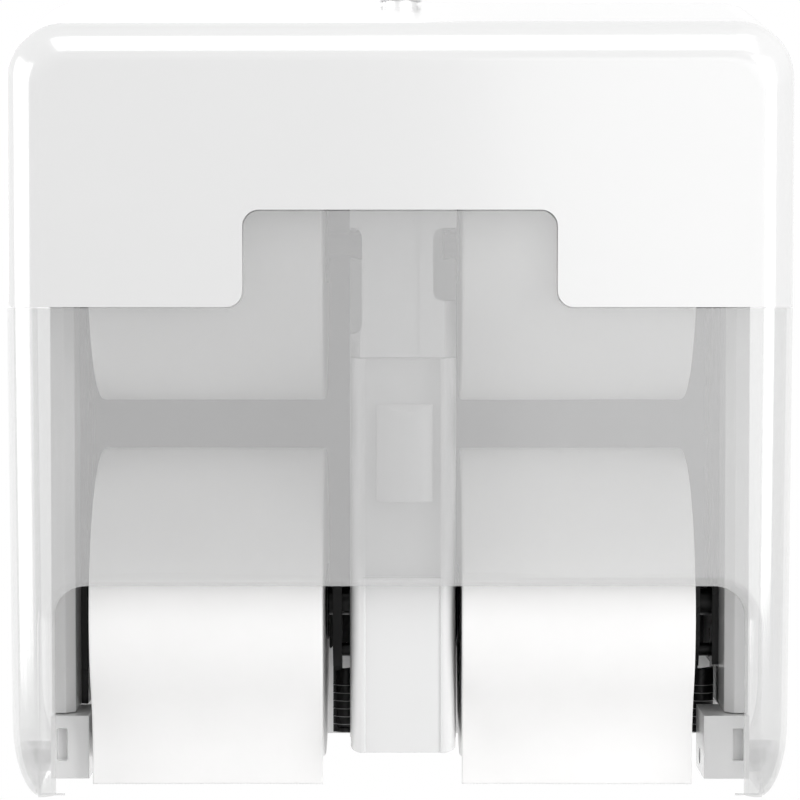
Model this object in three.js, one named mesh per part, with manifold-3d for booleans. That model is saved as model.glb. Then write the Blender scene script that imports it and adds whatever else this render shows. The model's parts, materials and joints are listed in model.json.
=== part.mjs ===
// A wall dispenser for four coreless toilet rolls: two reserve rolls above, two working rolls below.
// Millimetres, +Z up, +X to the right of someone facing the dispenser. The wall is the plane Y = 0, the
// object lies on its -Y side, and the origin is the middle of the wall face.
import * as THREE from "three";
import { mergeVertices } from "three/addons/utils/BufferGeometryUtils.js";
import Module from "manifold-3d";

const wasm = await Module();
wasm.setup();

// Driving sizes
const overallWidth = 345;
const overallHeight = 348.8;

// Walls and clearances
const shellWall = 2.6;
const frameWall = 2.5;
const fitGap = 0.3; // between pieces that are fixed to each other
const runGap = 0.4; // between pieces that move on each other
const looseGap = 0.8; // around a piece that swings or stretches
const overrun = 5; // how far a cutting block stands past what it cuts

// How full rolls sit in the cover
const rollTopGap = 44.4; // from the cover's top down to a reserve roll
const rollBetween = 21.1; // between a bay's reserve roll and its working roll
const rollFootGap = 8.1; // from a working roll down to the cover's lowest edge
const rollBackGap = 6.7; // from the wall to a roll
const rollFrontGap = 7.1; // from a roll to the cover's front wall
const sideMargin = 24.5; // from the cover's side at the wall to the side frame's inner face
const leftOuterGap = 16.1; // from the left side frame to the left rolls
const leftRollGap = 10.9; // from the left rolls to the column
const columnWidth = 46.6;
const rightRollGap = 1.7; // from the column to the right rolls
const rightOuterGap = 22.7; // from the right rolls to the right side frame

// Cover
const draftAngle = 2.5; // degrees, each side wall leans in towards the front
const topAngle = 8; // degrees, the top falls towards the front
const topCorner = 24;
const bottomCorner = 17; // how far the long bottom corners draw the sides in
const bottomCornerHeight = 50;
const frontRoundDepth = 19;
const frontRoundInset = 16;
const cornerShrinkShare = 0.6;
const wallGap = 1; // from the wall to the cover's rear edge
const seamRise = 208.8; // from the cover's lowest edge up to its seam
const tabHeight = 40.7;
const tabWidth = 131.2;
const tabCorner = 7;
const windowRise = 92; // from the cover's lowest edge up to the top of the dispensing opening
const windowInset = 2.5; // from a side frame's inner face to the side of the dispensing opening
const windowCorner = 14;
const hookReachIn = 3.5; // how far the hooks at the front of the bottom edge turn in past the opening
const hookLength = 10;
const undersideTrim = 4.5; // how high above the lowest edge the underside is cut free
const flangeOutset = 6.5; // from a side frame's inner face out to the turned-in bottom edge

// Hinge of the cover
const hingeRise = 12.4; // from the cover's lowest edge
const hingeBehind = 16; // from the rear of the lower brackets
const hingePinRadius = 3.3;
const hingeBossRadius = 7;
const hingeBossInset = 1.5; // from the bracket's outer face to the boss
const hingePinHeld = 11; // length of pin inside the bracket
const hingePinBlind = 2; // from the pin's tip to the cover's side wall

// Lock
const lockForward = 25; // from the wall
const lockNeckRadius = 7.7;
const lockCapRadius = 10;
const lockCapHeight = 2.6;
const lockShaftRadius = 5;
const lockShaftLength = 16;
const lockNutRadius = 11;
const lockNutHeight = 4;
const keyWidth = 2;
const keyDepth = 2;
const camReach = 18.5;
const camWidth = 7;
const camThickness = 3;
const camHookDepth = 7;
const camHookThickness = 2.5;
const catchWidth = 10;
const catchLipRise = 4.5;
const catchLipDistance = 11; // from the lock's axis to the near face of the lip
const catchLipThickness = 2.5;
const catchPlate = 2.5;

// Back plate and liner
const plateOverhang = 3; // how far the plate reaches past a side frame's inner face
const plateTopGap = 8.4; // from the cover's top
const plateFootGap = 6.4; // from the cover's lowest edge
const plateThickness = 2.6;
const linerThickness = 1.5;
const linerHeadroom = 10; // above a reserve roll
const linerFootDrop = 30.3; // below the working rolls' axis
const linerSideGap = 0.5;
const toothPitch = 5;
const toothHeight = 3;

// Side frames and brackets
const frameSetBack = 36; // from the cover's front face
const frameHeadroom = 5; // above a reserve roll
const frameRise = 33; // from the cover's lowest edge
const frameHeelDrop = 13;
const cheekGap = 0.5; // from a track's front to the rear edge of the guide cheek
const cheekReach = 7.5; // how far the cheek stands into the bay
const cheekBevel = 4;
const bracketNose = 5; // how far a bracket stands in front of its side frame
const bracketBackForward = 12.5; // from the spindles' axis forward to a bracket's rear
const bracketRise = 5.4; // from the cover's lowest edge
const leftBracketWidth = 16.5;
const rightBracketWidth = 19.5;
const recessWidth = 4.5;
const recessHeight = 14;
const recessDepth = 3;
const recessDrop = 5.5;

// Column
const baseForward = 16.5; // from the spindles' axis to the base's front
const baseRise = 18.4; // from the cover's lowest edge
const frontSetBack = 9; // from the cover's front face
const frontWidth = 34.4;
const frontCentre = 1.2;
const frontRim = 1.2; // proud edge at each side of the front's face
const frontDish = 0.8; // how far the face lies back between its rims
const flankDepth = 20.6; // from the face to where the flanks stop spreading
const flankInset = 0.8; // from the base's side to the flank
const frontRise = 1.8; // from the base's foot
const frontTopDrop = 48.2; // below the reserve rolls' axis
const frontWall = 2.2;
const stepDepth = 6.5; // how far the front's recess is set back
const stepHeight = 93;
const headTopRise = 48.8; // above the reserve rolls' axis
const headSetBack = 2;
const headStep = 1.2; // how far the head's left part lies behind its right part
const headStepReach = 7.2; // from the front's middle line to the step
const headRightReach = 12.7; // from the front's middle line to the head's right notch
const headLeftShoulder = 9.9; // above the top of the column's front
const headRightShoulder = 24;
const headNotchCorner = 5;

// Roll change slide
const slideWidth = 24;
const slideHeight = 41.6;
const slideDepth = 6.6;
const slideDrop = 19.4; // from the top of the column's front
const slideCentre = 2;
const slideTravel = 18;
const stemWidth = 5;
const stemHeight = 10;
const slideRidge = 3; // width of the flat along the paddle's middle
const slideEdge = 2.6; // thickness of the paddle's long edges
const slideTopBevel = 3;
const keeperThickness = 2;
const keeperWidth = 12;
const springRadius = 3.4;
const springWire = 0.8;
const springCurls = 7;
const springLength = 24;
const springSeat = 3;

// Spindle ends, tracks, gates and levers
const stubRadius = 6;
const stubReach = 2.4; // how far a stub reaches into its track
const slotPlay = 0.5; // from a stub's tip to the floor of its slot
const plugBoreDepth = 14;
const plugFlangeRadius = 17;
const plugFlange = 1;
const rollBore = 12;
const rollEdge = 1.5;
const trackBehind = 23.5; // from the spindles' axis
const trackAhead = 14;
const trackTopRise = 28.8; // above the reserve rolls' axis
const trackFootDrop = 26.5; // below the working rolls' axis
const outerTrackWidth = 10;
const innerTrackWidth = 7.7;
const gateThickness = 6;
const gatePinRadius = 2.4;
const gateBossRadius = 4.4;
const gatePivotBack = 13.5; // from the spindle axis back to the gate's pivot
const gatePinReach = 6.4; // how far a gate's pin reaches into its track
const leverPlate = 4;
const leverGap = 3.2; // from a roll's end to its lever
const leverPivotDrop = 21.5;
const leverPinRadius = 3;
const leverPinReach = 6; // how far a lever's pin reaches into its track
const leverBoss = 6.5;
const hookReach = 5; // how far a lever's hook reaches over the stub
const hookLip = 1.5;
const hookRise = 10;
const gripWidth = 11.2; // a half-round grip's diameter
const gripTopDrop = 8.4; // from the lever's pivot
const gripHeight = 28.1;
const ribPitch = 4;
const ribHeight = 2;
const ribDepth = 1.2;

// Hanging sheets
const sheetThickness = 0.5;
const sheetInset = 0.2; // from a roll's end to the sheet's side
const sheetTail = 3.9; // how far the sheet hangs below its roll
const sheetWrapAbove = 10; // degrees of the roll that the modelled end covers above the axis
const sheetWrapBelow = 39; // degrees below the axis at which it leaves the roll

// Screws
const screwHeadRadius = 4.2;
const screwHeadHeight = 2.2;
const screwShankRadius = 2;
const wallScrewInset = 69; // from the plate's side
const wallScrewTopInset = 16;
const wallScrewFootInset = 8;
const columnScrewTopInset = 35;
const columnScrewFootInset = 16;

// Facets
const rollFacets = 48;
const plugFacets = 20;
const pinFacets = 16;
const cornerSteps = 6;
const frontSteps = 5;
const sheetSteps = 10;
const curlSteps = 8;
const wireFacets = 5;
const nutFacets = 6;

// The rolls' size is what the cover leaves room for
const radians = Math.PI / 180;
const coverTop = overallHeight / 2;
const coverBottom = -overallHeight / 2;
const rollRadius = (overallHeight - rollTopGap - rollBetween - rollFootGap) / 4;
const workingAxis = coverBottom + rollFootGap + rollRadius;
const reserveAxis = coverTop - rollTopGap - rollRadius;
const spindleY = -(rollBackGap + rollRadius);
const overallDepth = rollBackGap + rollRadius * 2 + rollFrontGap + shellWall;
const frontFace = -overallDepth;
const frameInner = overallWidth / 2 - sideMargin;
const frameOuter = frameInner + frameWall;
const roomBeside = leftOuterGap + leftRollGap + columnWidth + rightRollGap + rightOuterGap;
const rollWidth = (frameInner * 2 - roomBeside) / 2;
const leftRollStart = leftOuterGap - frameInner;
const leftRollEnd = leftRollStart + rollWidth;
const columnLeft = leftRollEnd + leftRollGap;
const columnRight = columnLeft + columnWidth;
const rightRollStart = columnRight + rightRollGap;
const rightRollEnd = rightRollStart + rollWidth;

// Places of the frames, the tracks and the column
const plateFront = -plateThickness;
const plateTop = coverTop - plateTopGap;
const plateFoot = coverBottom + plateFootGap;
const plateHalf = frameInner + plateOverhang;
const rollTop = reserveAxis + rollRadius;
const frameTop = rollTop + frameHeadroom;
const frameFoot = coverBottom + frameRise;
const frameFront = frontFace + frameSetBack;
const bracketFront = frameFront - bracketNose;
const bracketBack = spindleY - bracketBackForward;
const bracketFoot = coverBottom + bracketRise;
const hingeY = bracketBack - hingeBehind;
const hingeZ = coverBottom + hingeRise;
const hingeSide = overallWidth / 2 + hingeY * Math.tan(draftAngle * radians) - cornerDrawIn(hingeRise);
const hingePinTip = hingeSide - shellWall - hingePinBlind;
const slotHalf = stubRadius + runGap;
const trackFront = spindleY - trackAhead;
const trackRear = spindleY + trackBehind;
const trackTop = reserveAxis + trackTopRise;
const trackFoot = workingAxis - trackFootDrop;
const baseFront = spindleY - baseForward;
const baseFoot = coverBottom + baseRise;
const columnFrontFace = frontFace + frontSetBack;
const frontLeft = frontCentre - frontWidth / 2;
const frontRight = frontCentre + frontWidth / 2;
const flankLeft = columnLeft + flankInset;
const flankRight = columnRight - flankInset;
const flankCorner = columnFrontFace + flankDepth;
const columnFrontFoot = baseFoot + frontRise;
const columnFrontTop = reserveAxis - frontTopDrop;
const stepFloor = columnFrontFace + stepDepth;
const stepFoot = columnFrontTop - stepHeight;
const slideTop = columnFrontTop - slideDrop;

// How far a long bottom corner draws the cover's side in at the given rise from the lowest edge
function cornerDrawIn(rise) {
  const share = (bottomCornerHeight - rise) / bottomCornerHeight;
  return bottomCorner * (1 - Math.sqrt(1 - share * share));
}

function moulding(color, roughness) {
  return new THREE.MeshStandardMaterial({ color, roughness, metalness: 0 });
}
const whiteGloss = moulding(0xf4f4f2, 0.22);
const whiteFrame = moulding(0xe9e9e7, 0.4);
const blackFrame = moulding(0x141414, 0.45);
const paper = moulding(0xf6f5f1, 0.95);
const smoky = new THREE.MeshStandardMaterial({
  color: 0xcfcfcf,
  roughness: 0.2,
  metalness: 0,
  transparent: true,
  opacity: 0.55,
});
const steel = new THREE.MeshStandardMaterial({ color: 0xb9bcc0, roughness: 0.3, metalness: 1 });

// A closed three.js geometry as a solid that can be joined and cut
function solidOf(geometry) {
  const bare = geometry.clone();
  bare.deleteAttribute("normal");
  bare.deleteAttribute("uv");
  const merged = mergeVertices(bare);
  return new wasm.Manifold(
    new wasm.Mesh({
      numProp: 3,
      vertProperties: new Float32Array(merged.attributes.position.array),
      triVerts: new Uint32Array(merged.index.array),
    }),
  );
}

function geometryOf(solid) {
  const { vertProperties, triVerts } = solid.getMesh();
  const geometry = new THREE.BufferGeometry();
  geometry.setAttribute("position", new THREE.BufferAttribute(vertProperties, 3));
  geometry.setIndex(new THREE.BufferAttribute(triVerts, 1));
  const flat = geometry.toNonIndexed();
  flat.computeVertexNormals();
  return flat;
}

function join(solids) {
  return solids.reduce((whole, solid) => whole.add(solid));
}

function cut(whole, tools) {
  return tools.reduce((left, tool) => left.subtract(tool), whole);
}

// A block between two X, two Y and two Z values, given in any order
function block([x0, x1], [y0, y1], [z0, z1]) {
  const geometry = new THREE.BoxGeometry(Math.abs(x1 - x0), Math.abs(y1 - y0), Math.abs(z1 - z0));
  geometry.translate((x0 + x1) / 2, (y0 + y1) / 2, (z0 + z1) / 2);
  return solidOf(geometry);
}

// A round bar along X
function barX(radius, [x0, x1], y, z, facets = pinFacets) {
  const geometry = new THREE.CylinderGeometry(radius, radius, Math.abs(x1 - x0), facets);
  geometry.rotateZ(Math.PI / 2);
  geometry.translate((x0 + x1) / 2, y, z);
  return solidOf(geometry);
}

// A round bar along Y
function barY(radius, x, [y0, y1], z, facets = pinFacets) {
  const geometry = new THREE.CylinderGeometry(radius, radius, Math.abs(y1 - y0), facets);
  geometry.translate(x, (y0 + y1) / 2, z);
  return solidOf(geometry);
}

// A round bar along Z
function barZ(radius, x, y, [z0, z1], facets = pinFacets) {
  const geometry = new THREE.CylinderGeometry(radius, radius, Math.abs(z1 - z0), facets);
  geometry.rotateX(Math.PI / 2);
  geometry.translate(x, y, (z0 + z1) / 2);
  return solidOf(geometry);
}

// An outline in (Y, Z) drawn out along X
function plateX(outline, [x0, x1]) {
  const geometry = new THREE.ExtrudeGeometry(outline, {
    depth: Math.abs(x1 - x0),
    bevelEnabled: false,
    curveSegments: cornerSteps,
  });
  geometry.applyMatrix4(new THREE.Matrix4().set(0, 0, 1, 0, 1, 0, 0, 0, 0, 1, 0, 0, 0, 0, 0, 1));
  geometry.translate(Math.min(x0, x1), 0, 0);
  return solidOf(geometry);
}

// An outline in (X, Z) drawn out along Y
function plateY(outline, [y0, y1]) {
  const geometry = new THREE.ExtrudeGeometry(outline, {
    depth: Math.abs(y1 - y0),
    bevelEnabled: false,
    curveSegments: cornerSteps,
  });
  geometry.rotateX(Math.PI / 2);
  geometry.translate(0, Math.max(y0, y1), 0);
  return solidOf(geometry);
}

// An outline in (X, Y) drawn out along Z
function plateZ(outline, [z0, z1]) {
  const geometry = new THREE.ExtrudeGeometry(outline, {
    depth: Math.abs(z1 - z0),
    bevelEnabled: false,
    curveSegments: cornerSteps,
  });
  geometry.translate(0, 0, Math.min(z0, z1));
  return solidOf(geometry);
}

function outlineOf(points) {
  return new THREE.Shape(points.map(([u, v]) => new THREE.Vector2(u, v)));
}

// One upright section of the cover at depth y, drawn in by inset and by offset, as a ring of points that
// runs anticlockwise seen from the front. Its bottom corners are taller than they are wide.
function coverSection(y, inset, offset) {
  const half = overallWidth / 2 + y * Math.tan(draftAngle * radians) - inset - offset;
  const high = coverTop + y * Math.tan(topAngle * radians) - inset - offset;
  const low = coverBottom + inset + offset;
  const shrink = cornerShrinkShare * inset + offset;
  const top = topCorner - shrink;
  const bottom = bottomCorner - shrink;
  const tall = bottomCornerHeight - shrink;
  const corners = [
    [half - top, high - top, top, top, 0],
    [top - half, high - top, top, top, 1],
    [bottom - half, low + tall, bottom, tall, 2],
    [half - bottom, low + tall, bottom, tall, 3],
  ];
  const ring = [];
  for (const [x, z, wide, high, quarter] of corners) {
    for (let i = 0; i <= cornerSteps; i++) {
      const turn = (quarter + i / cornerSteps) * (Math.PI / 2);
      ring.push(new THREE.Vector3(x + wide * Math.cos(turn), y, z + high * Math.sin(turn)));
    }
  }
  return ring;
}

// The cover's closed outer form, or its hollow when offset is the wall
function coverForm(offset, rear) {
  const shoulder = frontFace + frontRoundDepth;
  const rings = [coverSection(rear, 0, offset)];
  for (let i = 0; i <= frontSteps; i++) {
    const turn = (i / frontSteps) * (Math.PI / 2);
    const y = shoulder - (frontRoundDepth - offset) * Math.sin(turn);
    rings.push(coverSection(y, (frontRoundInset - offset) * (1 - Math.cos(turn)), offset));
  }
  return loft(rings);
}

// Rings of equally many points, from rear to front, skinned and closed with a fan at each end
function loft(rings) {
  const count = rings[0].length;
  const points = rings.flat();
  const middle = (ring) => ring.reduce((sum, p) => sum.add(p), new THREE.Vector3()).divideScalar(count);
  points.push(middle(rings[0]), middle(rings.at(-1)));
  const rearMiddle = points.length - 2;
  const frontMiddle = points.length - 1;
  const faces = [];
  for (let i = 0; i < count; i++) {
    const next = (i + 1) % count;
    for (let k = 0; k + 1 < rings.length; k++) {
      const rear = k * count;
      const front = rear + count;
      faces.push(rear + i, rear + next, front + i, rear + next, front + next, front + i);
    }
    const last = (rings.length - 1) * count;
    faces.push(rearMiddle, next, i, frontMiddle, last + i, last + next);
  }
  const geometry = new THREE.BufferGeometry().setFromPoints(points);
  geometry.setIndex(faces);
  return solidOf(geometry);
}

// The part of space below the cover's seam, with the tab that rises in the middle, drawn in by gap
function belowSeam(gap) {
  const seam = coverBottom + seamRise - gap;
  const low = coverBottom - overrun;
  const wide = overallWidth / 2 + overrun;
  const half = tabWidth / 2 - gap;
  const outline = new THREE.Shape();
  outline.moveTo(-wide, low);
  outline.lineTo(wide, low);
  outline.lineTo(wide, seam);
  outline.lineTo(half + tabCorner, seam);
  outline.absarc(half + tabCorner, seam + tabCorner, tabCorner, -Math.PI / 2, -Math.PI, true);
  outline.lineTo(half, seam + tabHeight - tabCorner);
  outline.absarc(half - tabCorner, seam + tabHeight - tabCorner, tabCorner, 0, Math.PI / 2, false);
  outline.lineTo(tabCorner - half, seam + tabHeight);
  outline.absarc(tabCorner - half, seam + tabHeight - tabCorner, tabCorner, Math.PI / 2, Math.PI, false);
  outline.lineTo(-half, seam + tabCorner);
  outline.absarc(-half - tabCorner, seam + tabCorner, tabCorner, 0, -Math.PI / 2, true);
  outline.lineTo(-wide, seam);
  outline.closePath();
  return plateY(outline, [frontFace - overrun, overrun]);
}

// The dispensing opening in the front wall, with rounded upper corners
function frontWindow() {
  const half = frameInner - windowInset;
  const high = coverBottom + windowRise;
  const low = coverBottom + shellWall + fitGap;
  const outline = new THREE.Shape();
  outline.moveTo(-half, low);
  outline.lineTo(half, low);
  outline.absarc(half - windowCorner, high - windowCorner, windowCorner, 0, Math.PI / 2, false);
  outline.absarc(windowCorner - half, high - windowCorner, windowCorner, Math.PI / 2, Math.PI, false);
  outline.closePath();
  return plateY(outline, [frontFace - overrun, frontFace + frontRoundDepth + overrun]);
}

function coverShell() {
  const deep = [coverBottom - overrun, coverBottom + undersideTrim];
  const hookEnd = frameInner - windowInset - hookReachIn;
  const hooks = block([-hookEnd, hookEnd], [frontFace - overrun, frontFace + hookLength], deep);
  const flangeEnd = frameInner + flangeOutset;
  const between = block([-flangeEnd, flangeEnd], [frontFace + hookLength - fitGap, overrun], deep);
  const hollow = coverForm(shellWall, overrun);
  return cut(coverForm(0, -wallGap), [hollow, frontWindow(), hooks, between]);
}

// A hinge boss reaches from beside the bracket out into the side wall of the cover, with a blind bore
function hingeBoss(side) {
  const inner = side * (frameOuter + hingeBossInset);
  const boss = barX(hingeBossRadius, [inner, (side * overallWidth) / 2], hingeY, hingeZ);
  const boreEnds = [inner - side * overrun, side * (hingePinTip + runGap)];
  const bore = barX(hingePinRadius + runGap, boreEnds, hingeY, hingeZ);
  return { boss: boss.intersect(coverForm(shellWall / 2, -wallGap)), bore };
}

function coverLower(shell) {
  const bosses = [-1, 1].map(hingeBoss);
  const lower = shell.intersect(belowSeam(0));
  return cut(join([lower, ...bosses.map((b) => b.boss)]), bosses.map((b) => b.bore));
}

function coverUpper(shell) {
  const deep = [coverTop - topCorner, coverTop + overrun];
  const lockHole = barZ(lockNeckRadius + runGap, 0, -lockForward, deep);
  return cut(shell, [belowSeam(-fitGap), lockHole]);
}

// Heights of the lock's pieces, from the cover's sloping top at the lock's axis
const lockSurface = coverTop - lockForward * Math.tan(topAngle * radians);
const lockFall = lockCapRadius * Math.tan(topAngle * radians);
const capBottom = lockSurface + lockFall + fitGap;
const nutTop = lockSurface - shellWall / Math.cos(topAngle * radians) - lockFall - fitGap - runGap;
const camTop = nutTop - lockNutHeight - fitGap;

function lockBarrel() {
  const capTop = capBottom + lockCapHeight;
  const cap = barZ(lockCapRadius, 0, -lockForward, [capBottom, capTop], rollFacets);
  const neck = barZ(lockNeckRadius, 0, -lockForward, [nutTop + fitGap, capBottom + fitGap], rollFacets);
  const shaft = barZ(lockShaftRadius, 0, -lockForward, [nutTop - lockShaftLength, capBottom]);
  const keyway = block(
    [-keyWidth / 2, keyWidth / 2],
    [-lockForward - lockShaftRadius, -lockForward + lockShaftRadius],
    [capTop - keyDepth, capTop + overrun],
  );
  return cut(join([cap, neck, shaft]), [keyway]);
}

function lockNut() {
  const nutBottom = nutTop - lockNutHeight;
  const nut = barZ(lockNutRadius, 0, -lockForward, [nutBottom, nutTop], nutFacets);
  const bore = barZ(lockShaftRadius + runGap, 0, -lockForward, [nutBottom - overrun, nutTop + overrun]);
  return cut(nut, [bore]);
}

// At rest the cam points to +X, clear of the catch. A quarter turn brings its hook behind the catch's lip.
function lockCam() {
  const camBottom = camTop - camThickness;
  const arm = block(
    [-camWidth, camReach],
    [-lockForward - camWidth, -lockForward + camWidth / 2],
    [camBottom, camTop],
  );
  const hook = block(
    [camReach - camHookThickness, camReach],
    [-lockForward - camWidth / 2, -lockForward + camWidth / 2],
    [camTop - camHookDepth, camTop],
  );
  const bore = barZ(lockShaftRadius + fitGap, 0, -lockForward, [camBottom - overrun, camTop + overrun]);
  return cut(join([arm, hook]), [bore]);
}

function lockCatch() {
  const lipBack = -lockForward + catchLipDistance + catchLipThickness;
  const lipTop = camTop - camThickness - runGap;
  const shelfTop = lipTop - catchLipRise - runGap;
  const half = catchWidth / 2;
  const lipFront = lipBack - catchLipThickness;
  const shelfBottom = shelfTop - catchPlate;
  const lip = block([-half, half], [lipFront, lipBack], [shelfBottom, lipTop]);
  const shelf = block([-half, half], [lipFront, plateFront], [shelfBottom, shelfTop]);
  return join([lip, shelf]);
}

function screwHole(x, z) {
  return barY(screwShankRadius + fitGap, x, [-plateThickness - overrun, overrun], z);
}

const wallScrews = [
  ["wall_screw_upper_left", wallScrewInset - plateHalf, plateTop - wallScrewTopInset],
  ["wall_screw_upper_right", plateHalf - wallScrewInset, plateTop - wallScrewTopInset],
  ["wall_screw_lower_left", wallScrewInset - plateHalf, plateFoot + wallScrewFootInset],
  ["wall_screw_lower_right", plateHalf - wallScrewInset, plateFoot + wallScrewFootInset],
];
const columnScrews = [
  ["column_screw_upper", (columnLeft + columnRight) / 2, frameTop - columnScrewTopInset],
  ["column_screw_lower", (columnLeft + columnRight) / 2, baseFoot + columnScrewFootInset],
];

function backPlate() {
  const sheet = block([-plateHalf, plateHalf], [plateFront, 0], [plateFoot, plateTop]);
  return cut(sheet, [...wallScrews, ...columnScrews].map(([, x, z]) => screwHole(x, z)));
}

// A pan-headed screw along Y with its head's underside at y, cut short inside the plate
function screw(x, y, z) {
  const head = barY(screwHeadRadius, x, [y - screwHeadHeight, y], z);
  const shank = barY(screwShankRadius, x, [y - fitGap, -fitGap], z);
  return join([head, shank]);
}

// The black liner has a toothed lower edge, and room for the column's back wall
function backLiner() {
  const half = frameInner - linerSideGap;
  const top = rollTop + linerHeadroom;
  const foot = workingAxis - linerFootDrop;
  const pitch = (half * 2) / Math.round((half * 2) / toothPitch);
  const points = [[half, top], [-half, top], [-half, foot]];
  for (let x = -half; x < half - pitch / 2; x += pitch) {
    points.push([x + pitch / 2, foot + toothHeight], [x + pitch, foot]);
  }
  const rear = plateFront - fitGap;
  const front = rear - linerThickness;
  const sheet = plateY(outlineOf(points), [rear, front]);
  const gap = block(
    [columnLeft - fitGap, columnRight + fitGap],
    [front - overrun, overrun],
    [foot - overrun, frameTop + fitGap],
  );
  return cut(sheet, [gap]);
}

// A side frame's wall has a sloping lower edge. Its front edge turns in to a narrow face, and the cheek
// turns back from there to the track.
function sideFrame(side) {
  const rear = plateFront - fitGap;
  const wall = plateX(
    outlineOf([
      [rear, frameTop],
      [frameFront, frameTop],
      [frameFront, frameFoot],
      [bracketBack, frameFoot],
      [rear, frameFoot - frameHeelDrop],
    ]),
    [side * frameInner, side * frameOuter],
  );
  const cheekRear = trackFront - cheekGap;
  const cheekSide = frameInner - cheekReach;
  const innerBevel = cheekBevel + frameWall / 2;
  const cheekPoints = [
    [frameOuter, frameFront],
    [cheekSide + cheekBevel, frameFront],
    [cheekSide, frameFront + cheekBevel],
    [cheekSide, cheekRear],
    [cheekSide + frameWall, cheekRear],
    [cheekSide + frameWall, frameFront + innerBevel],
    [cheekSide + innerBevel, frameFront + frameWall],
    [frameOuter, frameFront + frameWall],
  ].map(([x, y]) => [side * x, y]);
  const cheek = plateZ(outlineOf(cheekPoints), [frameFoot, frameTop]);
  return join([wall, cheek]);
}

// A lower bracket carries the cover's hinge pin and has a shallow recess in its front face
function lowerBracket(side, width) {
  const outer = side * frameOuter;
  const inner = outer - side * width;
  const top = frameFoot - fitGap;
  const body = block([inner, outer], [bracketFront, bracketBack], [bracketFoot, top]);
  const boreEnds = [inner - side * overrun, outer + side * overrun];
  const bore = barX(hingePinRadius + fitGap, boreEnds, hingeY, hingeZ);
  const recess = block(
    [outer - side * frameWall, outer - side * (frameWall + recessWidth)],
    [bracketFront - overrun, bracketFront + recessDepth],
    [top - recessDrop, top - recessDrop - recessHeight],
  );
  return cut(body, [bore, recess]);
}

function hingePin(side) {
  return barX(hingePinRadius, [side * (frameOuter - hingePinHeld), side * hingePinTip], hingeY, hingeZ);
}

// Gate pivots, common to all four tracks
const gateY = spindleY + gatePivotBack;
const gateTop = reserveAxis - stubRadius - runGap;
const gateZ = gateTop - gateBossRadius;
const gateLength = gatePivotBack + slotHalf - looseGap;
const leverY = spindleY;
const leverZ = workingAxis - leverPivotDrop;
const leftGripEnd = leftRollEnd + leverGap + gripWidth;
const rightGripEnd = rightRollEnd + leverGap + gripWidth;

// The spindle slot: straight down from the reserve seat to the working seat, with a way in at the top front
function spindleSlot(xs) {
  const tall = block(xs, [spindleY - slotHalf, spindleY + slotHalf], [workingAxis, reserveAxis]);
  const ends = [workingAxis, reserveAxis].map((z) => barX(slotHalf, xs, spindleY, z, plugFacets));
  const entry = [trackFront - overrun, spindleY];
  const wayIn = block(xs, entry, [reserveAxis - slotHalf, reserveAxis + slotHalf]);
  return join([tall, ...ends, wayIn]);
}

// A black track plate from its near face, beside the roll, to its far face, with its foot at the given
// height. It has the spindle slot in its near face, the gate's pocket behind the slot, and bores for the
// pins of the gate and of a lever. Beside a lever its leg is set back to leave the grip room.
function track([near, far], foot, gripEnd) {
  const away = Math.sign(far - near);
  const hollow = [near - away * overrun, near + away * (stubReach + slotPlay)];
  const through = [near - away * overrun, far + away * overrun];
  const body = block([near, far], [trackFront, trackRear], [foot, trackTop]);
  const pocketRear = gateY + gateBossRadius + looseGap;
  const pocketFoot = gateZ - gateLength - looseGap;
  const pocket = block(hollow, [spindleY, pocketRear], [pocketFoot, gateTop + looseGap]);
  const gateBore = barX(gatePinRadius + runGap, through, gateY, gateZ);
  const tools = [spindleSlot(hollow), pocket, gateBore];
  if (gripEnd) {
    const gripRoom = [near - away * overrun, gripEnd + away * looseGap];
    const along = [trackFront - overrun, trackRear + overrun];
    tools.push(barX(leverPinRadius + runGap, through, leverY, leverZ));
    tools.push(block(gripRoom, along, [foot - overrun, trackFoot]));
  }
  return cut(body, tools);
}

// The place across the object at the given depth behind a track's near face
function insideTrack([near, far], reach) {
  return near + Math.sign(far - near) * reach;
}

// A gate lies across the slot under the reserve stub, with its pin in the track behind it
function gate(ownTrack) {
  const ends = [insideTrack(ownTrack, runGap), insideTrack(ownTrack, stubReach + slotPlay - runGap)];
  const arm = block(ends, [gateY - gateLength, gateY], [gateTop - gateThickness, gateTop]);
  const boss = barX(gateBossRadius, ends, gateY, gateZ);
  const pin = barX(gatePinRadius, [ends[0], insideTrack(ownTrack, gatePinReach)], gateY, gateZ);
  return join([arm, boss, pin]);
}

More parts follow.
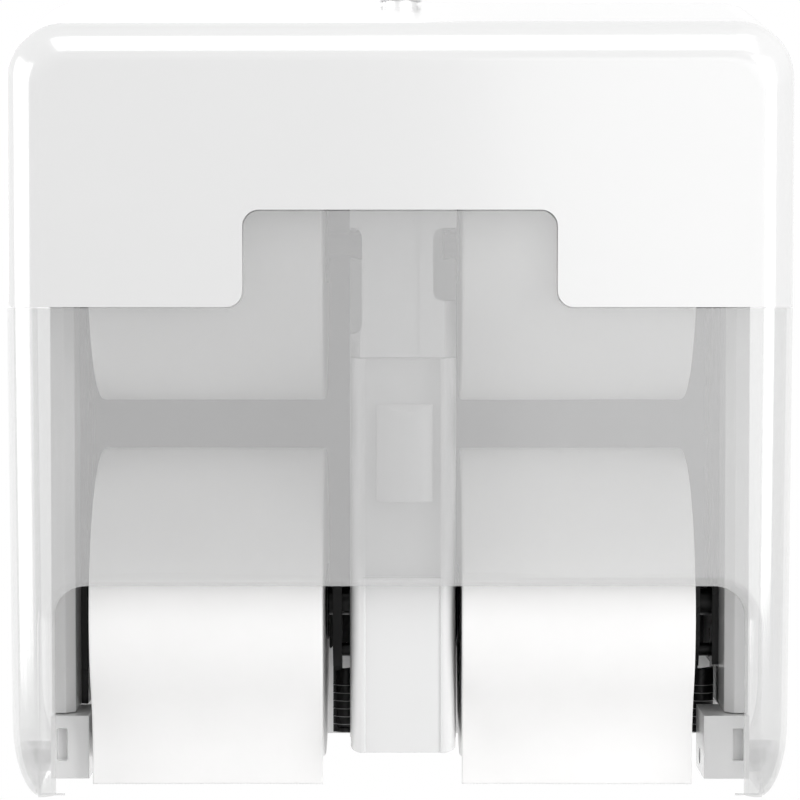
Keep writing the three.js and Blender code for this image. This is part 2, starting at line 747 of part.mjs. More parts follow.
// A release lever beside the right end of a working roll: a hook that keeps the stub down in its seat, with
// a sloping head that a falling stub pushes aside, a pin into the track, and a ribbed half-round grip
function releaseLever(rollEnd, ownTrack) {
  const near = rollEnd + leverGap;
  const across = [near, near + leverPlate];
  const hookBack = leverY - slotHalf;
  const hookFront = hookBack - leverBoss;
  const crotch = workingAxis - slotHalf - looseGap;
  const hookFoot = workingAxis + stubRadius + looseGap;
  const outline = outlineOf([
    [leverY + leverBoss, leverZ - leverBoss],
    [leverY + leverBoss, leverZ + leverBoss],
    [leverY, crotch],
    [hookBack, crotch],
    [hookBack, hookFoot],
    [hookBack + hookReach, hookFoot],
    [hookBack + hookReach, hookFoot + hookLip],
    [hookFront + hookLip, hookFoot + hookRise],
    [hookFront, hookFoot + hookRise],
    [hookFront, leverZ + leverBoss],
    [leverY - leverBoss, leverZ - leverBoss],
  ]);
  const pinEnds = [near + leverPlate / 2, insideTrack(ownTrack, leverPinReach)];
  const pin = barX(leverPinRadius, pinEnds, leverY, leverZ);
  const gripTop = leverZ - gripTopDrop;
  const gripFoot = gripTop - gripHeight;
  const neck = block(across, [leverY - leverBoss / 2, leverY + leverBoss / 2], [leverZ, gripFoot]);
  const radius = gripWidth / 2;
  const core = halfRound(near + radius, radius - ribDepth, [gripFoot, gripTop]);
  const ribs = [];
  for (let z = gripFoot; z + ribHeight <= gripTop + fitGap; z += ribPitch) {
    ribs.push(halfRound(near + radius, radius, [z, z + ribHeight]));
  }
  return join([plateX(outline, across), pin, neck, core, ...ribs]);
}

// A half-round bar along Z with its flat at the spindle axis's depth and its crown to the front
function halfRound(x, radius, zs) {
  const outline = new THREE.Shape();
  outline.absarc(x, leverY, radius, -Math.PI, 0, false);
  outline.closePath();
  return plateZ(outline, zs);
}

// Where the spindle ends pass through the column's flanks, from outside in
const columnWays = [
  [columnLeft - overrun, frontLeft - fitGap],
  [frontRight + fitGap, columnRight + overrun],
];

// The base of the column is a tall channel, open to the front and at the top, with slots in its flanks and
// room for a grip
function columnBase() {
  const rear = plateFront - fitGap;
  const front = baseFront + frontWall + fitGap;
  const outside = block([columnLeft, columnRight], [front, rear], [baseFoot, frameTop]);
  const inside = block(
    [columnLeft + frameWall, columnRight - frameWall],
    [front - overrun, rear - frameWall],
    [baseFoot + frameWall, frameTop + overrun],
  );
  const window = block(
    [columnLeft - overrun, leftGripEnd + looseGap],
    [leverY - gripWidth, trackRear + overrun],
    [baseFoot - overrun, leverZ + leverBoss],
  );
  const screwHoles = columnScrews.map(([, x, z]) => screwHole(x, z));
  return cut(outside, [inside, window, ...columnWays.map(spindleSlot), ...screwHoles]);
}

// A plate closes the base to the front, with a notch in each side for the spindles' way in
function columnPlate() {
  const plate = block([columnLeft, columnRight], [baseFront, baseFront + frontWall], [baseFoot, frameTop]);
  return cut(plate, columnWays.map(spindleSlot));
}

// The column's front and head have flanks that spread from a narrow face nearly to the base's width and
// then run straight back. This is their form drawn in by inset, from the first to the last of some depths.
function frontForm(inset, depths, zs) {
  const spread = (y) => Math.min((y - columnFrontFace) / flankDepth, 1);
  const leftAt = (y) => frontLeft + (flankLeft - frontLeft) * spread(y) + inset;
  const rightAt = (y) => frontRight + (flankRight - frontRight) * spread(y) - inset;
  const rightSide = depths.map((y) => [rightAt(y), y]);
  const leftSide = depths.map((y) => [leftAt(y), y]).reverse();
  return plateZ(outlineOf([...rightSide, ...leftSide]), zs);
}

// The front is hollow, and its face lies back between two rims. It has a stepped-back recess for the slide,
// with a backing and a sill.
function columnFront() {
  const rear = baseFront - fitGap;
  const outside = frontForm(0, [columnFrontFace, flankCorner, rear], [columnFrontFoot, columnFrontTop]);
  const hollowZ = [columnFrontFoot + frontWall, columnFrontTop - frontWall];
  const hollowFace = columnFrontFace + frontDish + frontWall;
  const inside = frontForm(frontWall, [hollowFace, flankCorner, rear + overrun], hollowZ);
  const betweenRims = [frontLeft + frontRim, frontRight - frontRim];
  const dishFloor = columnFrontFace + frontDish;
  const dish = block(
    betweenRims,
    [columnFrontFace - overrun, dishFloor],
    [columnFrontFoot - overrun, columnFrontTop + overrun],
  );
  const step = [columnFrontFace - overrun, stepFloor];
  const recess = block(betweenRims, step, [stepFoot, columnFrontTop + overrun]);
  const sillFoot = stepFoot - frontWall;
  const backing = frontForm(0, [stepFloor, stepFloor + frontWall], [sillFoot, columnFrontTop]);
  const sill = frontForm(0, [dishFloor, stepFloor + frontWall], [sillFoot, stepFoot]);
  const slot = block(
    [slideCentre - stemWidth / 2 - runGap, slideCentre + stemWidth / 2 + runGap],
    [columnFrontFace, stepFloor + frontWall + fitGap],
    [stemBottom - slideTravel - runGap, stemBottom + stemHeight + runGap],
  );
  const hollow = cut(outside, [inside, dish, recess]);
  return cut(join([hollow, backing, sill]), [slot]);
}

const slideBack = stepFloor - runGap;
const keeperFront = stepFloor + frontWall + runGap;
const stemBottom = slideTop - slideHeight / 2;

// The slide's paddle slopes to both long edges from a narrow flat in its middle, and its top end is
// bevelled. Its stem passes through the recess's slot to a keeper behind.
function changeSlide() {
  const half = slideWidth / 2;
  const slideFace = slideBack - slideDepth;
  const section = outlineOf([
    [slideCentre - half, slideBack],
    [slideCentre - half, slideBack - slideEdge],
    [slideCentre - slideRidge / 2, slideFace],
    [slideCentre + slideRidge / 2, slideFace],
    [slideCentre + half, slideBack - slideEdge],
    [slideCentre + half, slideBack],
  ]);
  const bevel = outlineOf([
    [slideBack - slideEdge, slideTop],
    [slideFace - overrun, slideTop + overrun],
    [slideFace - overrun, slideTop - slideTopBevel],
    [slideFace, slideTop - slideTopBevel],
  ]);
  const across = [slideCentre - half - overrun, slideCentre + half + overrun];
  const paddle = cut(plateZ(section, [slideTop - slideHeight, slideTop]), [plateX(bevel, across)]);
  const stem = block(
    [slideCentre - stemWidth / 2, slideCentre + stemWidth / 2],
    [slideBack - slideDepth / 2, keeperFront + keeperThickness / 2],
    [stemBottom, stemBottom + stemHeight],
  );
  const keeper = block(
    [slideCentre - keeperWidth / 2, slideCentre + keeperWidth / 2],
    [keeperFront, keeperFront + keeperThickness],
    [stemBottom, springFoot],
  );
  const arm = block(
    [slideCentre - springRadius - springWire, slideCentre + springRadius + springWire],
    [keeperFront, springY + springRadius + springWire],
    [springFoot - springSeat, springFoot],
  );
  return join([paddle, stem, keeper, arm]);
}

const springY = keeperFront + keeperThickness + springRadius + springWire + looseGap;
const springFoot = columnFrontTop - frontWall - springLength;

// The slide's return spring, one unbroken coil from the keeper's arm up to the column front's top wall
function changeSpring() {
  const steps = springCurls * curlSteps;
  const low = springFoot + springWire / 2 + fitGap;
  const rise = springLength - springWire - fitGap * 2;
  const path = new THREE.CatmullRomCurve3(
    Array.from({ length: steps + 1 }, (_, i) => {
      const turn = (i / curlSteps) * Math.PI * 2;
      const x = slideCentre + springRadius * Math.cos(turn);
      const y = springY + springRadius * Math.sin(turn);
      return new THREE.Vector3(x, y, low + (rise * i) / steps);
    }),
  );
  const wire = new THREE.Shape();
  wire.absarc(0, 0, springWire / 2, 0, Math.PI * 2, false);
  const gap = rise / springCurls - springWire;
  console.log("change_spring: least gap between curls " + gap.toFixed(2) + " mm");
  const geometry = new THREE.ExtrudeGeometry(wire, {
    steps,
    extrudePath: path,
    curveSegments: wireFacets,
  });
  return solidOf(geometry);
}

// A notch in the head's side, from its side to the x given, with eased inner corners
function headNotch(side, x, [low, high]) {
  const far = x + side * columnWidth;
  const near = x + side * headNotchCorner;
  const outline = new THREE.Shape();
  outline.moveTo(far, low);
  outline.lineTo(near, low);
  outline.quadraticCurveTo(x, low, x, low + headNotchCorner);
  outline.lineTo(x, high - headNotchCorner);
  outline.quadraticCurveTo(x, high, near, high);
  outline.lineTo(far, high);
  return plateY(outline, [columnFrontFace - overrun, baseFront + overrun]);
}

// The column's head is a T-shaped block with a shoulder at each side of its foot. Its left part lies a step
// behind its right part.
function columnHead() {
  const rear = baseFront - fitGap;
  const face = columnFrontFace + headSetBack;
  const foot = columnFrontTop + fitGap;
  const top = reserveAxis + headTopRise;
  const neck = reserveAxis + slotHalf + runGap;
  const band = frontForm(0, [face, flankCorner, rear], [foot, top]);
  const cross = block([flankLeft, flankRight], [face, rear], [neck, top]);
  const step = block(
    [columnLeft - overrun, frontCentre + headStepReach],
    [face - overrun, face + headStep],
    [foot - overrun, top + overrun],
  );
  const notches = [
    headNotch(-1, frontLeft, [columnFrontTop + headLeftShoulder, neck]),
    headNotch(1, frontCentre + headRightReach, [columnFrontTop + headRightShoulder, neck]),
  ];
  return cut(join([band, cross]), [step, ...notches]);
}

// A coreless roll is solid but for a socket in each end, and its edges are eased
function roll(start) {
  const socket = plugBoreDepth + fitGap;
  const profile = [
    [0, socket],
    [rollBore, socket],
    [rollBore, 0],
    [rollRadius - rollEdge, 0],
    [rollRadius, rollEdge],
    [rollRadius, rollWidth - rollEdge],
    [rollRadius - rollEdge, rollWidth],
    [rollBore, rollWidth],
    [rollBore, rollWidth - socket],
    [0, rollWidth - socket],
  ];
  const geometry = new THREE.LatheGeometry(profile.map(([r, h]) => new THREE.Vector2(r, h)), rollFacets);
  geometry.rotateZ(-Math.PI / 2);
  geometry.translate(start, 0, 0);
  return solidOf(geometry);
}

// A spindle plug sits in a roll's bore at x, with its stub pointing to side and ending at tip
function plug(x, side, tip) {
  const out = plugFlange + fitGap;
  const profile = [
    [0, -plugBoreDepth],
    [rollBore - fitGap, -plugBoreDepth],
    [rollBore - fitGap, fitGap],
    [plugFlangeRadius, fitGap],
    [plugFlangeRadius, out],
    [stubRadius, out],
    [stubRadius, Math.abs(tip - x)],
    [0, Math.abs(tip - x)],
  ];
  const geometry = new THREE.LatheGeometry(profile.map(([r, h]) => new THREE.Vector2(r, h)), plugFacets);
  geometry.rotateZ(-side * (Math.PI / 2));
  geometry.translate(x, 0, 0);
  return solidOf(geometry);
}

// A sheet follows its roll from above the axis to below it, then hangs straight down
function sheet(start) {
  const inner = rollRadius + fitGap;
  const outer = inner + sheetThickness;
  const angles = Array.from(
    { length: sheetSteps + 1 },
    (_, i) => (-sheetWrapAbove + ((sheetWrapAbove + sheetWrapBelow) * i) / sheetSteps) * radians,
  );
  const pointAt = (radius, a) => [spindleY - radius * Math.cos(a), workingAxis - radius * Math.sin(a)];
  const along = (radius) => angles.map((a) => pointAt(radius, a));
  const low = workingAxis - rollRadius - sheetTail;
  const leave = sheetWrapBelow * radians;
  const hang = (radius) => [spindleY - radius * Math.cos(leave), low];
  const outline = outlineOf([...along(outer), hang(outer), hang(inner), ...along(inner).reverse()]);
  return plateX(outline, [start + sheetInset, start + rollWidth - sheetInset]);
}

const group = new THREE.Group();

function place(name, solid, material, y = 0, z = 0) {
  const mesh = new THREE.Mesh(geometryOf(solid), material);
  mesh.name = name;
  mesh.position.set(0, y, z);
  group.add(mesh);
}

// Each track across the object, from its near face beside the roll to its far face
const outerFar = frameInner - fitGap;
const leftOuterTrack = [outerTrackWidth - outerFar, -outerFar];
const rightOuterTrack = [outerFar - outerTrackWidth, outerFar];
const leftInnerNear = columnLeft + frameWall + fitGap;
const leftInnerTrack = [leftInnerNear, leftInnerNear + innerTrackWidth];
const rightInnerNear = columnRight - frameWall - fitGap;
const rightInnerTrack = [rightInnerNear, rightInnerNear - innerTrackWidth];

function placeCover() {
  const shell = coverShell();
  place("cover_upper", coverUpper(shell), whiteGloss);
  place("cover_lower", coverLower(shell), smoky);
  place("lock_barrel", lockBarrel(), steel);
  place("lock_nut", lockNut(), steel);
  place("lock_cam", lockCam(), steel);
}

function placeHousing() {
  place("back_plate", backPlate(), whiteFrame);
  place("back_liner", backLiner(), blackFrame);
  place("lock_catch", lockCatch(), whiteFrame);
  place("left_side_frame", sideFrame(-1), whiteFrame);
  place("right_side_frame", sideFrame(1), whiteFrame);
  place("left_lower_bracket", lowerBracket(-1, leftBracketWidth), whiteFrame);
  place("right_lower_bracket", lowerBracket(1, rightBracketWidth), whiteFrame);
  place("left_hinge_pin", hingePin(-1), steel);
  place("right_hinge_pin", hingePin(1), steel);
  place("column_base", columnBase(), whiteFrame);
  place("column_plate", columnPlate(), whiteFrame);
  place("column_front", columnFront(), whiteFrame);
  place("column_head", columnHead(), whiteFrame);
  for (const [name, x, z] of wallScrews) {
    place(name, screw(x, plateFront - fitGap, z), steel);
  }
  for (const [name, x, z] of columnScrews) {
    place(name, screw(x, plateFront - fitGap * 2 - frameWall, z), steel);
  }
}

function placeTracks() {
  place("left_outer_track", track(leftOuterTrack, frameFoot), blackFrame);
  place("left_inner_track", track(leftInnerTrack, trackFoot, leftGripEnd), blackFrame);
  place("right_inner_track", track(rightInnerTrack, trackFoot), blackFrame);
  place("right_outer_track", track(rightOuterTrack, frameFoot, rightGripEnd), blackFrame);
  place("left_outer_gate", gate(leftOuterTrack), blackFrame);
  place("left_inner_gate", gate(leftInnerTrack), blackFrame);
  place("right_inner_gate", gate(rightInnerTrack), blackFrame);
  place("right_outer_gate", gate(rightOuterTrack), blackFrame);
  place("left_release_lever", releaseLever(leftRollEnd, leftInnerTrack), blackFrame);
  place("right_release_lever", releaseLever(rightRollEnd, rightOuterTrack), blackFrame);
}

function placeRolls() {
  const rows = [
    ["reserve", reserveAxis],
    ["working", workingAxis],
  ];
  const bays = [
    ["left", leftRollStart, leftRollEnd, leftOuterTrack, leftInnerTrack],
    ["right", rightRollStart, rightRollEnd, rightInnerTrack, rightOuterTrack],
  ];
  for (const [bay, start, end, leftTrack, rightTrack] of bays) {
    const leftPlug = plug(start, -1, insideTrack(leftTrack, stubReach));
    const rightPlug = plug(end, 1, insideTrack(rightTrack, stubReach));
    for (const [row, height] of rows) {
      const name = bay + "_" + row;
      place(name + "_roll", roll(start), paper, spindleY, height);
      place(name + "_plug_left", leftPlug, blackFrame, spindleY, height);
      place(name + "_plug_right", rightPlug, blackFrame, spindleY, height);
    }
  }
  place("left_sheet", sheet(leftRollStart), paper);
  place("right_sheet", sheet(rightRollStart), paper);
}

placeCover();
placeHousing();
placeTracks();
placeRolls();
place("change_slide", changeSlide(), whiteFrame);
place("change_spring", changeSpring(), steel);

export default group;
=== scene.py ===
import json
import math

import bmesh
import bpy
import numpy as np
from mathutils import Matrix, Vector


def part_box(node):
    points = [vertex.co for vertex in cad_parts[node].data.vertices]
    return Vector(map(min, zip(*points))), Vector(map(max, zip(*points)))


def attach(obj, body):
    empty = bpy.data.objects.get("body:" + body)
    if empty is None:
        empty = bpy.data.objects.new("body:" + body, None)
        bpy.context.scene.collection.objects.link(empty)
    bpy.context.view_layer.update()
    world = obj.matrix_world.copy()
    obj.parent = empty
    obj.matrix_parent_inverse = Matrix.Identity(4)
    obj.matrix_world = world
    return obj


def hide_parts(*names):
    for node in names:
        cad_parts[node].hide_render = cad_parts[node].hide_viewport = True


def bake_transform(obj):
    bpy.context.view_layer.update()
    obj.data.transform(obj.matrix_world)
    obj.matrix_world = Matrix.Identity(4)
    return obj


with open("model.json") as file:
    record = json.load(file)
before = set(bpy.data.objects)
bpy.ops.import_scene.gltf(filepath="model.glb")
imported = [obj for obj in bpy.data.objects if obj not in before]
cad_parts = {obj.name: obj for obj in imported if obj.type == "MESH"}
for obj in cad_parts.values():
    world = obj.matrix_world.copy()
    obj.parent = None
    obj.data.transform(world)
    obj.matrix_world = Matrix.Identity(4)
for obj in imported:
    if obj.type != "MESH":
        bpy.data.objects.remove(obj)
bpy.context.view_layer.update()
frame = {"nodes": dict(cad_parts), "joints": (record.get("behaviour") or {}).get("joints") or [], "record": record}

MM = 0.001
JOINTS = {joint["name"]: joint for joint in frame["joints"]}
BODY_OF = {
    node: body
    for body, nodes in frame["record"]["behaviour"]["bodies"].items()
    for node in nodes
}
SLOT_OF = {part["node"]: part["material_slot"] for part in frame["record"]["subparts"]}

# Camera, at the photograph's viewing angle, and light
CAMERA_PLACE = (0, -1.418, 0.054)
CAMERA_FALL = math.radians(2.63)
CAMERA_LENS = 136.08
CAMERA_REACH = 20
SENSOR = 36
LIGHT_TARGET = (0, -0.08, 0)
WORLD_LIGHT = 0.33

# Reaches within which points are merged, and the bend under which a solid's neighbouring faces join
DOUBLE_REACH = 1e-6
SOLID_DOUBLE_REACH = 2e-6
OUTLINE_GAP = 1e-7
NEAR_ZERO = 1e-9
FLAT_ANGLE = math.radians(0.6)

# Eased edges and round bars
EASE_ANGLE = math.radians(32)
EASE_SEGMENTS = 2
BAR_FACETS = 64

# Cover walls, as the solids have them, but with the photograph's lower corners and leaning sides
WALL = 2.6 * MM
FIT = 0.3 * MM
DRAFT = math.tan(math.radians(2.5))
TOP_FALL = math.tan(math.radians(8))
TOP_CORNER = 24 * MM
BOTTOM_CORNER = 12.5 * MM
BOTTOM_CORNER_HEIGHT = 32 * MM
SIDE_LEAN = 1.6 * MM
FRONT_ROUND_DEPTH = 19 * MM
FRONT_ROUND_INSET = 16 * MM
CORNER_SHRINK = 0.6
CORNER_STEPS = 20
SIDE_STEPS = 12
FRONT_STEPS = 18
COVER_EASE = 0.45 * MM
OVERRUN = 5 * MM

# Seam, tab and dispensing opening
SEAM_RISE = 208.8 * MM
TAB_HEIGHT = 40.7 * MM
TAB_HALF = 65.6 * MM
TAB_CORNER = 7 * MM
TAB_CORNER_STEPS = 14
OPENING_RISE = 92 * MM
OPENING_INSET = 2.5 * MM
OPENING_CORNER = 14 * MM
OPENING_CORNER_STEPS = 24
LIP_WIDTH = 6.5 * MM
LIP_WALL = 2.3 * MM
LIP_SETBACK = 0.2 * MM
LIP_OVERLAP = 0.4 * MM
LIP_TOP_WIDTH_SHARE = 0.75
LIP_TOP_DEPTH_SHARE = 0.16
LIP_STEPS = 12
HOOK_REACH = 3.5 * MM
HOOK_LENGTH = 10 * MM
UNDERSIDE_TRIM = 4.5 * MM
FLANGE_OUTSET = 6.5 * MM

# Side frames, hinge and lock
FRAME_WALL = 2.5 * MM
HINGE_BOSS_RADIUS = 7 * MM
HINGE_BORE_RADIUS = 3.7 * MM
HINGE_BOSS_INSET = 1.5 * MM
HINGE_PIN_BLIND = 1.6 * MM
LOCK_HOLE_RADIUS = 8.1 * MM

# Column front
FACE_CENTRE = 1.2 * MM
FACE_HALF = 17.2 * MM
FLANK_DEPTH = 20.6 * MM
FLANK_OVERLAP = 0.4 * MM
FLANK_STEPS = 15
COLUMN_EASE = 0.3 * MM

# Grips of the release levers
GRIP_RADIUS = 5.62 * MM
GRIP_HEIGHT = 28.1 * MM
GRIP_ROUNDING = 6 * MM
GRIP_ROUNDING_START = 0.04
GRIP_FOOT_SHARE = 0.45
GRIP_BAND = 7 * MM
GRIP_SLOPE = 0.9 * MM
GRIP_EASE = 0.12 * MM
GRIP_EASE_ANGLE = math.radians(50)
GRIP_ROWS = 190
GRIP_COLUMNS = 36
RIDGES = 6
RIDGE_PITCH = 3.5 * MM
RIDGE_WIDTH = 0.22 * MM
RIDGE_RISE = 0.28 * MM

# Lock knob
CAP_RADIUS = 10 * MM
CAP_HEIGHT = 2.6 * MM
CAP_FOOT_CHAMFER = (0.5 * MM, 0.4 * MM)
CAP_RIM = 1.1 * MM
CAP_RIM_STEPS = 9
CAP_DOME = 0.35 * MM
CROWN_RADIUS = 5 * MM
CROWN_FALL = 0.1 * MM
NECK_RADIUS = 7.7 * MM
NECK_RISE = 11.9 * MM
NECK_CHAMFER = 0.3 * MM
SHAFT_RADIUS = 5 * MM
SHAFT_CHAMFER = 0.4 * MM
KEYWAY_HALF_WIDTH = 1 * MM
KEYWAY_HALF_LENGTH = 4.5 * MM
KEYWAY_DEPTH = 2 * MM
KNOB_FACETS = 72
KNOB_EASE = 0.25 * MM

# Rolls and their spindle plugs
ROLL_BORE = 12 * MM
ROLL_EASE = 1.6 * MM
ROLL_EASE_STEPS = 7
ROLL_END_ROWS = 26
ROLL_FACE_ROWS = 42
ROLL_COLUMNS = 192
ROLL_LAYER = 0.35 * MM
ROLL_TAIL = math.radians(200)
ROLL_WAVE = 0.12 * MM
ROLL_WAVES_ROUND = 3
ROLL_WAVES_ALONG = 60
END_RIPPLE = 0.16 * MM
END_RIPPLE_BANDS = 34
ROLL_SHARP_ANGLE = math.radians(50)
PLUG_EASE = 0.25 * MM

# Hanging ends
SHEET_INSET = 0.2 * MM
SHEET_THICKNESS = 0.3 * MM
SHEET_WALL = 0.8 * SHEET_THICKNESS
SHEET_ABOVE = math.radians(17)
SHEET_TUCK = 1.1 * MM
SHEET_TUCK_LENGTH = 9 * MM
SHEET_LEAVE = math.radians(28)
SHEET_STRAIGHTENING = 30 * MM
SHEET_POINTS = 110
SHEET_COLUMNS = 150
SHEET_FORWARD = 0.3 * MM
SHEET_WAVE = 0.5 * MM
LONG_WAVE = 5.3
LONG_WAVE_SHARE = 0.7
SHORT_WAVE = 11.7
SHORT_WAVE_SHARE = 0.3
TEETH_PITCH = 1.25 * MM
TEETH_LENGTH = 0.7 * MM
TEETH_SHARE = 0.03

# Return spring
SPRING_WIRE = 0.4 * MM
SPRING_CURLS = 7
SPRING_CURL_STEPS = 36
SPRING_END_CLOSING = 0.06
SPRING_FACETS = 12

# Floor
FLOOR_HALF_WIDTH = 1.6
FLOOR_FRONT = -1.2
FLOOR_REAR = 0.9
FLOOR_HEIGHT = -0.6

lower_low, lower_high = (Vector(corner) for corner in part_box("cover_lower"))
upper_high = Vector(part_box("cover_upper")[1])
FRONT = lower_low.y
REAR = lower_high.y
HALF_WIDTH = lower_high.x - REAR * DRAFT
COVER_TOP = upper_high.z - REAR * TOP_FALL
COVER_BOTTOM = lower_low.z
FRAME_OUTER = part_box("right_side_frame")[1][0]
FRAME_INNER = FRAME_OUTER - FRAME_WALL
HINGE_Y, HINGE_Z = JOINTS["cover_hinge"]["pos_m"][1:]
LOCK_Y = JOINTS["lock_turn"]["pos_m"][1]


# Camera, light and stage

def set_camera():
    lens = bpy.data.cameras.new("camera")
    lens.lens = CAMERA_LENS
    lens.sensor_width = SENSOR
    lens.clip_end = CAMERA_REACH
    camera = bpy.data.objects.new("camera", lens)
    camera.location = CAMERA_PLACE
    camera.rotation_euler = (math.pi / 2 - CAMERA_FALL, 0, 0)
    bpy.context.scene.collection.objects.link(camera)
    bpy.context.scene.camera = camera


def softbox(name, place, size, power):
    """A rectangular lamp that faces the dispenser; size is its width and height."""
    lamp = bpy.data.lights.new(name, "AREA")
    lamp.shape = "RECTANGLE"
    lamp.size, lamp.size_y = size
    lamp.energy = power
    light = bpy.data.objects.new(name, lamp)
    light.location = place
    light.rotation_euler = (Vector(LIGHT_TARGET) - Vector(place)).to_track_quat("-Z", "Y").to_euler()
    bpy.context.scene.collection.objects.link(light)


def set_light():
    softbox("right_front_softbox", (1.0, -0.9, 0.3), (0.7, 1.1), 9.4)
    softbox("left_front_softbox", (-1.35, -0.65, 0.25), (0.8, 1.15), 6.5)
    softbox("left_side_softbox", (-1.2, -0.1, 0.2), (0.5, 1.0), 4.5)
    softbox("front_softbox", (0.7, -1.7, 0.15), (1.3, 1.2), 3)
    softbox("top_softbox", (0.1, -0.6, 1.2), (1.4, 0.9), 9)
    softbox("back_softbox", (-0.5, 1.3, 0.5), (1.0, 1.0), 9)


def set_world():
    """A background that is white to the camera and in gloss and glass, and an even light on the object."""
    world = bpy.data.worlds.new("studio")
    bpy.context.scene.world = world
    world.use_nodes = True
    tree = world.node_tree
    plain = tree.nodes["Background"]
    plain.inputs["Color"].default_value = (1, 1, 1, 1)
    plain.inputs["Strength"].default_value = WORLD_LIGHT
    white = tree.nodes.new("ShaderNodeBackground")
    white.inputs["Color"].default_value = (1, 1, 1, 1)
    white.inputs["Strength"].default_value = 1
    path = tree.nodes.new("ShaderNodeLightPath")
    seen = path.outputs["Is Camera Ray"]
    for ray in ("Is Glossy Ray", "Is Transmission Ray"):
        either = tree.nodes.new("ShaderNodeMath")
        either.operation = "MAXIMUM"
        tree.links.new(seen, either.inputs[0])
        tree.links.new(path.outputs[ray], either.inputs[1])
        seen = either.outputs[0]
    mix = tree.nodes.new("ShaderNodeMixShader")
    tree.links.new(seen, mix.inputs[0])
    tree.links.new(plain.outputs[0], mix.inputs[1])
    tree.links.new(white.outputs[0], mix.inputs[2])
    tree.links.new(mix.outputs[0], tree.nodes["World Output"].inputs["Surface"])


# Shader expressions

class Value:
    """A number that varies over a surface. Sums, differences and products with it add Math nodes."""

    def __init__(self, finish, socket):
        self.finish = finish
        self.socket = socket

    def __add__(self, other):
        return self.finish.maths("ADD", self, other)

    def __sub__(self, other):
        return self.finish.maths("SUBTRACT", self, other)

    def __mul__(self, other):
        return self.finish.maths("MULTIPLY", self, other)

    def __rsub__(self, other):
        return self.finish.maths("SUBTRACT", other, self)

    __radd__ = __add__
    __rmul__ = __mul__


class Finish:
    """A procedural material. node adds any node, with its settings first and then its sockets."""

    def __init__(self, name):
        self.material = bpy.data.materials.new(name)
        self.material.use_nodes = True
        self.tree = self.material.node_tree
        self.shader = self.tree.nodes["Principled BSDF"]

    def node(self, kind, settings=None, sockets=None, output=0):
        made = self.tree.nodes.new(kind)
        for key, value in (settings or {}).items():
            setattr(made, key, value)
        for key, value in (sockets or {}).items():
            self.put(made.inputs[key], value)
        return Value(self, made.outputs[output])

    def put(self, socket, value):
        if isinstance(value, Value):
            self.tree.links.new(value.socket, socket)
        else:
            socket.default_value = value

    def maths(self, operation, *values):
        return self.node("ShaderNodeMath", {"operation": operation}, dict(enumerate(values)))

    def surface(self, **values):
        for key, value in values.items():
            self.put(self.shader.inputs[key.replace("_", " ")], value)

    def place(self):
        return self.node("ShaderNodeTexCoord", output="Object")

    def noise(self, vector, scale, detail=2.0, roughness=0.5):
        sockets = {"Vector": vector, "Scale": scale, "Detail": detail, "Roughness": roughness}
        return self.node("ShaderNodeTexNoise", {}, sockets)

    def tint(self, factor, dark, light):
        """From colour dark to colour light as factor goes from 0 to 1."""
        settings = {"data_type": "RGBA"}
        return self.node("ShaderNodeMix", settings, {0: factor, 6: dark, 7: light}, output=2)

    def bump(self, height, strength, distance):
        sockets = {"Height": height, "Strength": strength, "Distance": distance}
        return self.node("ShaderNodeBump", {}, sockets)


def grey(value, warmth=0.0):
    """A grey whose green and blue fall a little with warmth."""
    return (value, value * (1 - warmth * 0.5), value * (1 - warmth), 1)


def white_gloss():
    """Glossy white moulding: a nearly even white with the faint waviness of a polished mould."""
    finish = Finish("white_gloss")
    place = finish.place()
    cloud = finish.noise(place, 9, 2)
    peel = finish.noise(place, 220, 1)
    finish.surface(
        Base_Color=finish.tint(cloud, grey(0.68), grey(0.7)),
        Roughness=cloud * 0.05 + 0.16,
        Normal=finish.bump(peel, 0.03, 0.2 * MM),
    )
    finish.surface(Coat_Weight=1.0, Coat_IOR=2.2, Coat_Roughness=0.14)
    return finish.material


def smoky_gloss():
    """See-through smoky moulding, faintly cloudy, with the waviness of a polished mould."""
    finish = Finish("smoky_gloss")
    place = finish.place()
    cloud = finish.noise(place, 7, 2)
    peel = finish.noise(place, 220, 1)
    finish.surface(
        Base_Color=finish.tint(cloud, grey(0.585), grey(0.61)),
        Roughness=cloud * 0.05 + 0.16,
        Alpha=cloud * 0.03 + 0.4,
        Normal=finish.bump(peel, 0.03, 0.2 * MM),
    )
    finish.surface(IOR=2.2, Coat_Weight=1.0, Coat_IOR=2.0, Coat_Roughness=0.1)
    return finish.material


def white_frame():
    """Shiny white moulding with a very fine grain."""
    finish = Finish("white_frame")
    place = finish.place()
    cloud = finish.noise(place, 14, 3)
    grain = finish.noise(place, 1900, 2)
    finish.surface(
        Base_Color=finish.tint(cloud, grey(0.75), grey(0.78)),
        Roughness=cloud * 0.08 + 0.14,
        Normal=finish.bump(grain, 0.03, 0.03 * MM),
    )
    finish.surface(Coat_Weight=0.4, Coat_Roughness=0.08)
    return finish.material


def black_moulding(name, painted_highlight=None):
    """Satin black moulding with a fine grain and a faint cloudiness, painted paler where a mask is given, as a
    painted highlight.
    """
    finish = Finish(name)
    place = finish.place()
    cloud = finish.noise(place, 26, 3)
    grain = finish.noise(place, 1700, 2)
    colour = finish.tint(cloud, grey(0.006), grey(0.014))
    if painted_highlight:
        # Painted highlight: masked places are painted pale grey in place of reflected light
        colour = finish.tint(painted_highlight(finish, place), colour, grey(0.4))
    finish.surface(
        Base_Color=colour,
        Roughness=cloud * 0.14 + 0.2,
        Normal=finish.bump(grain, 0.04, 0.03 * MM),
    )
    finish.surface(IOR=1.3)
    return finish.material


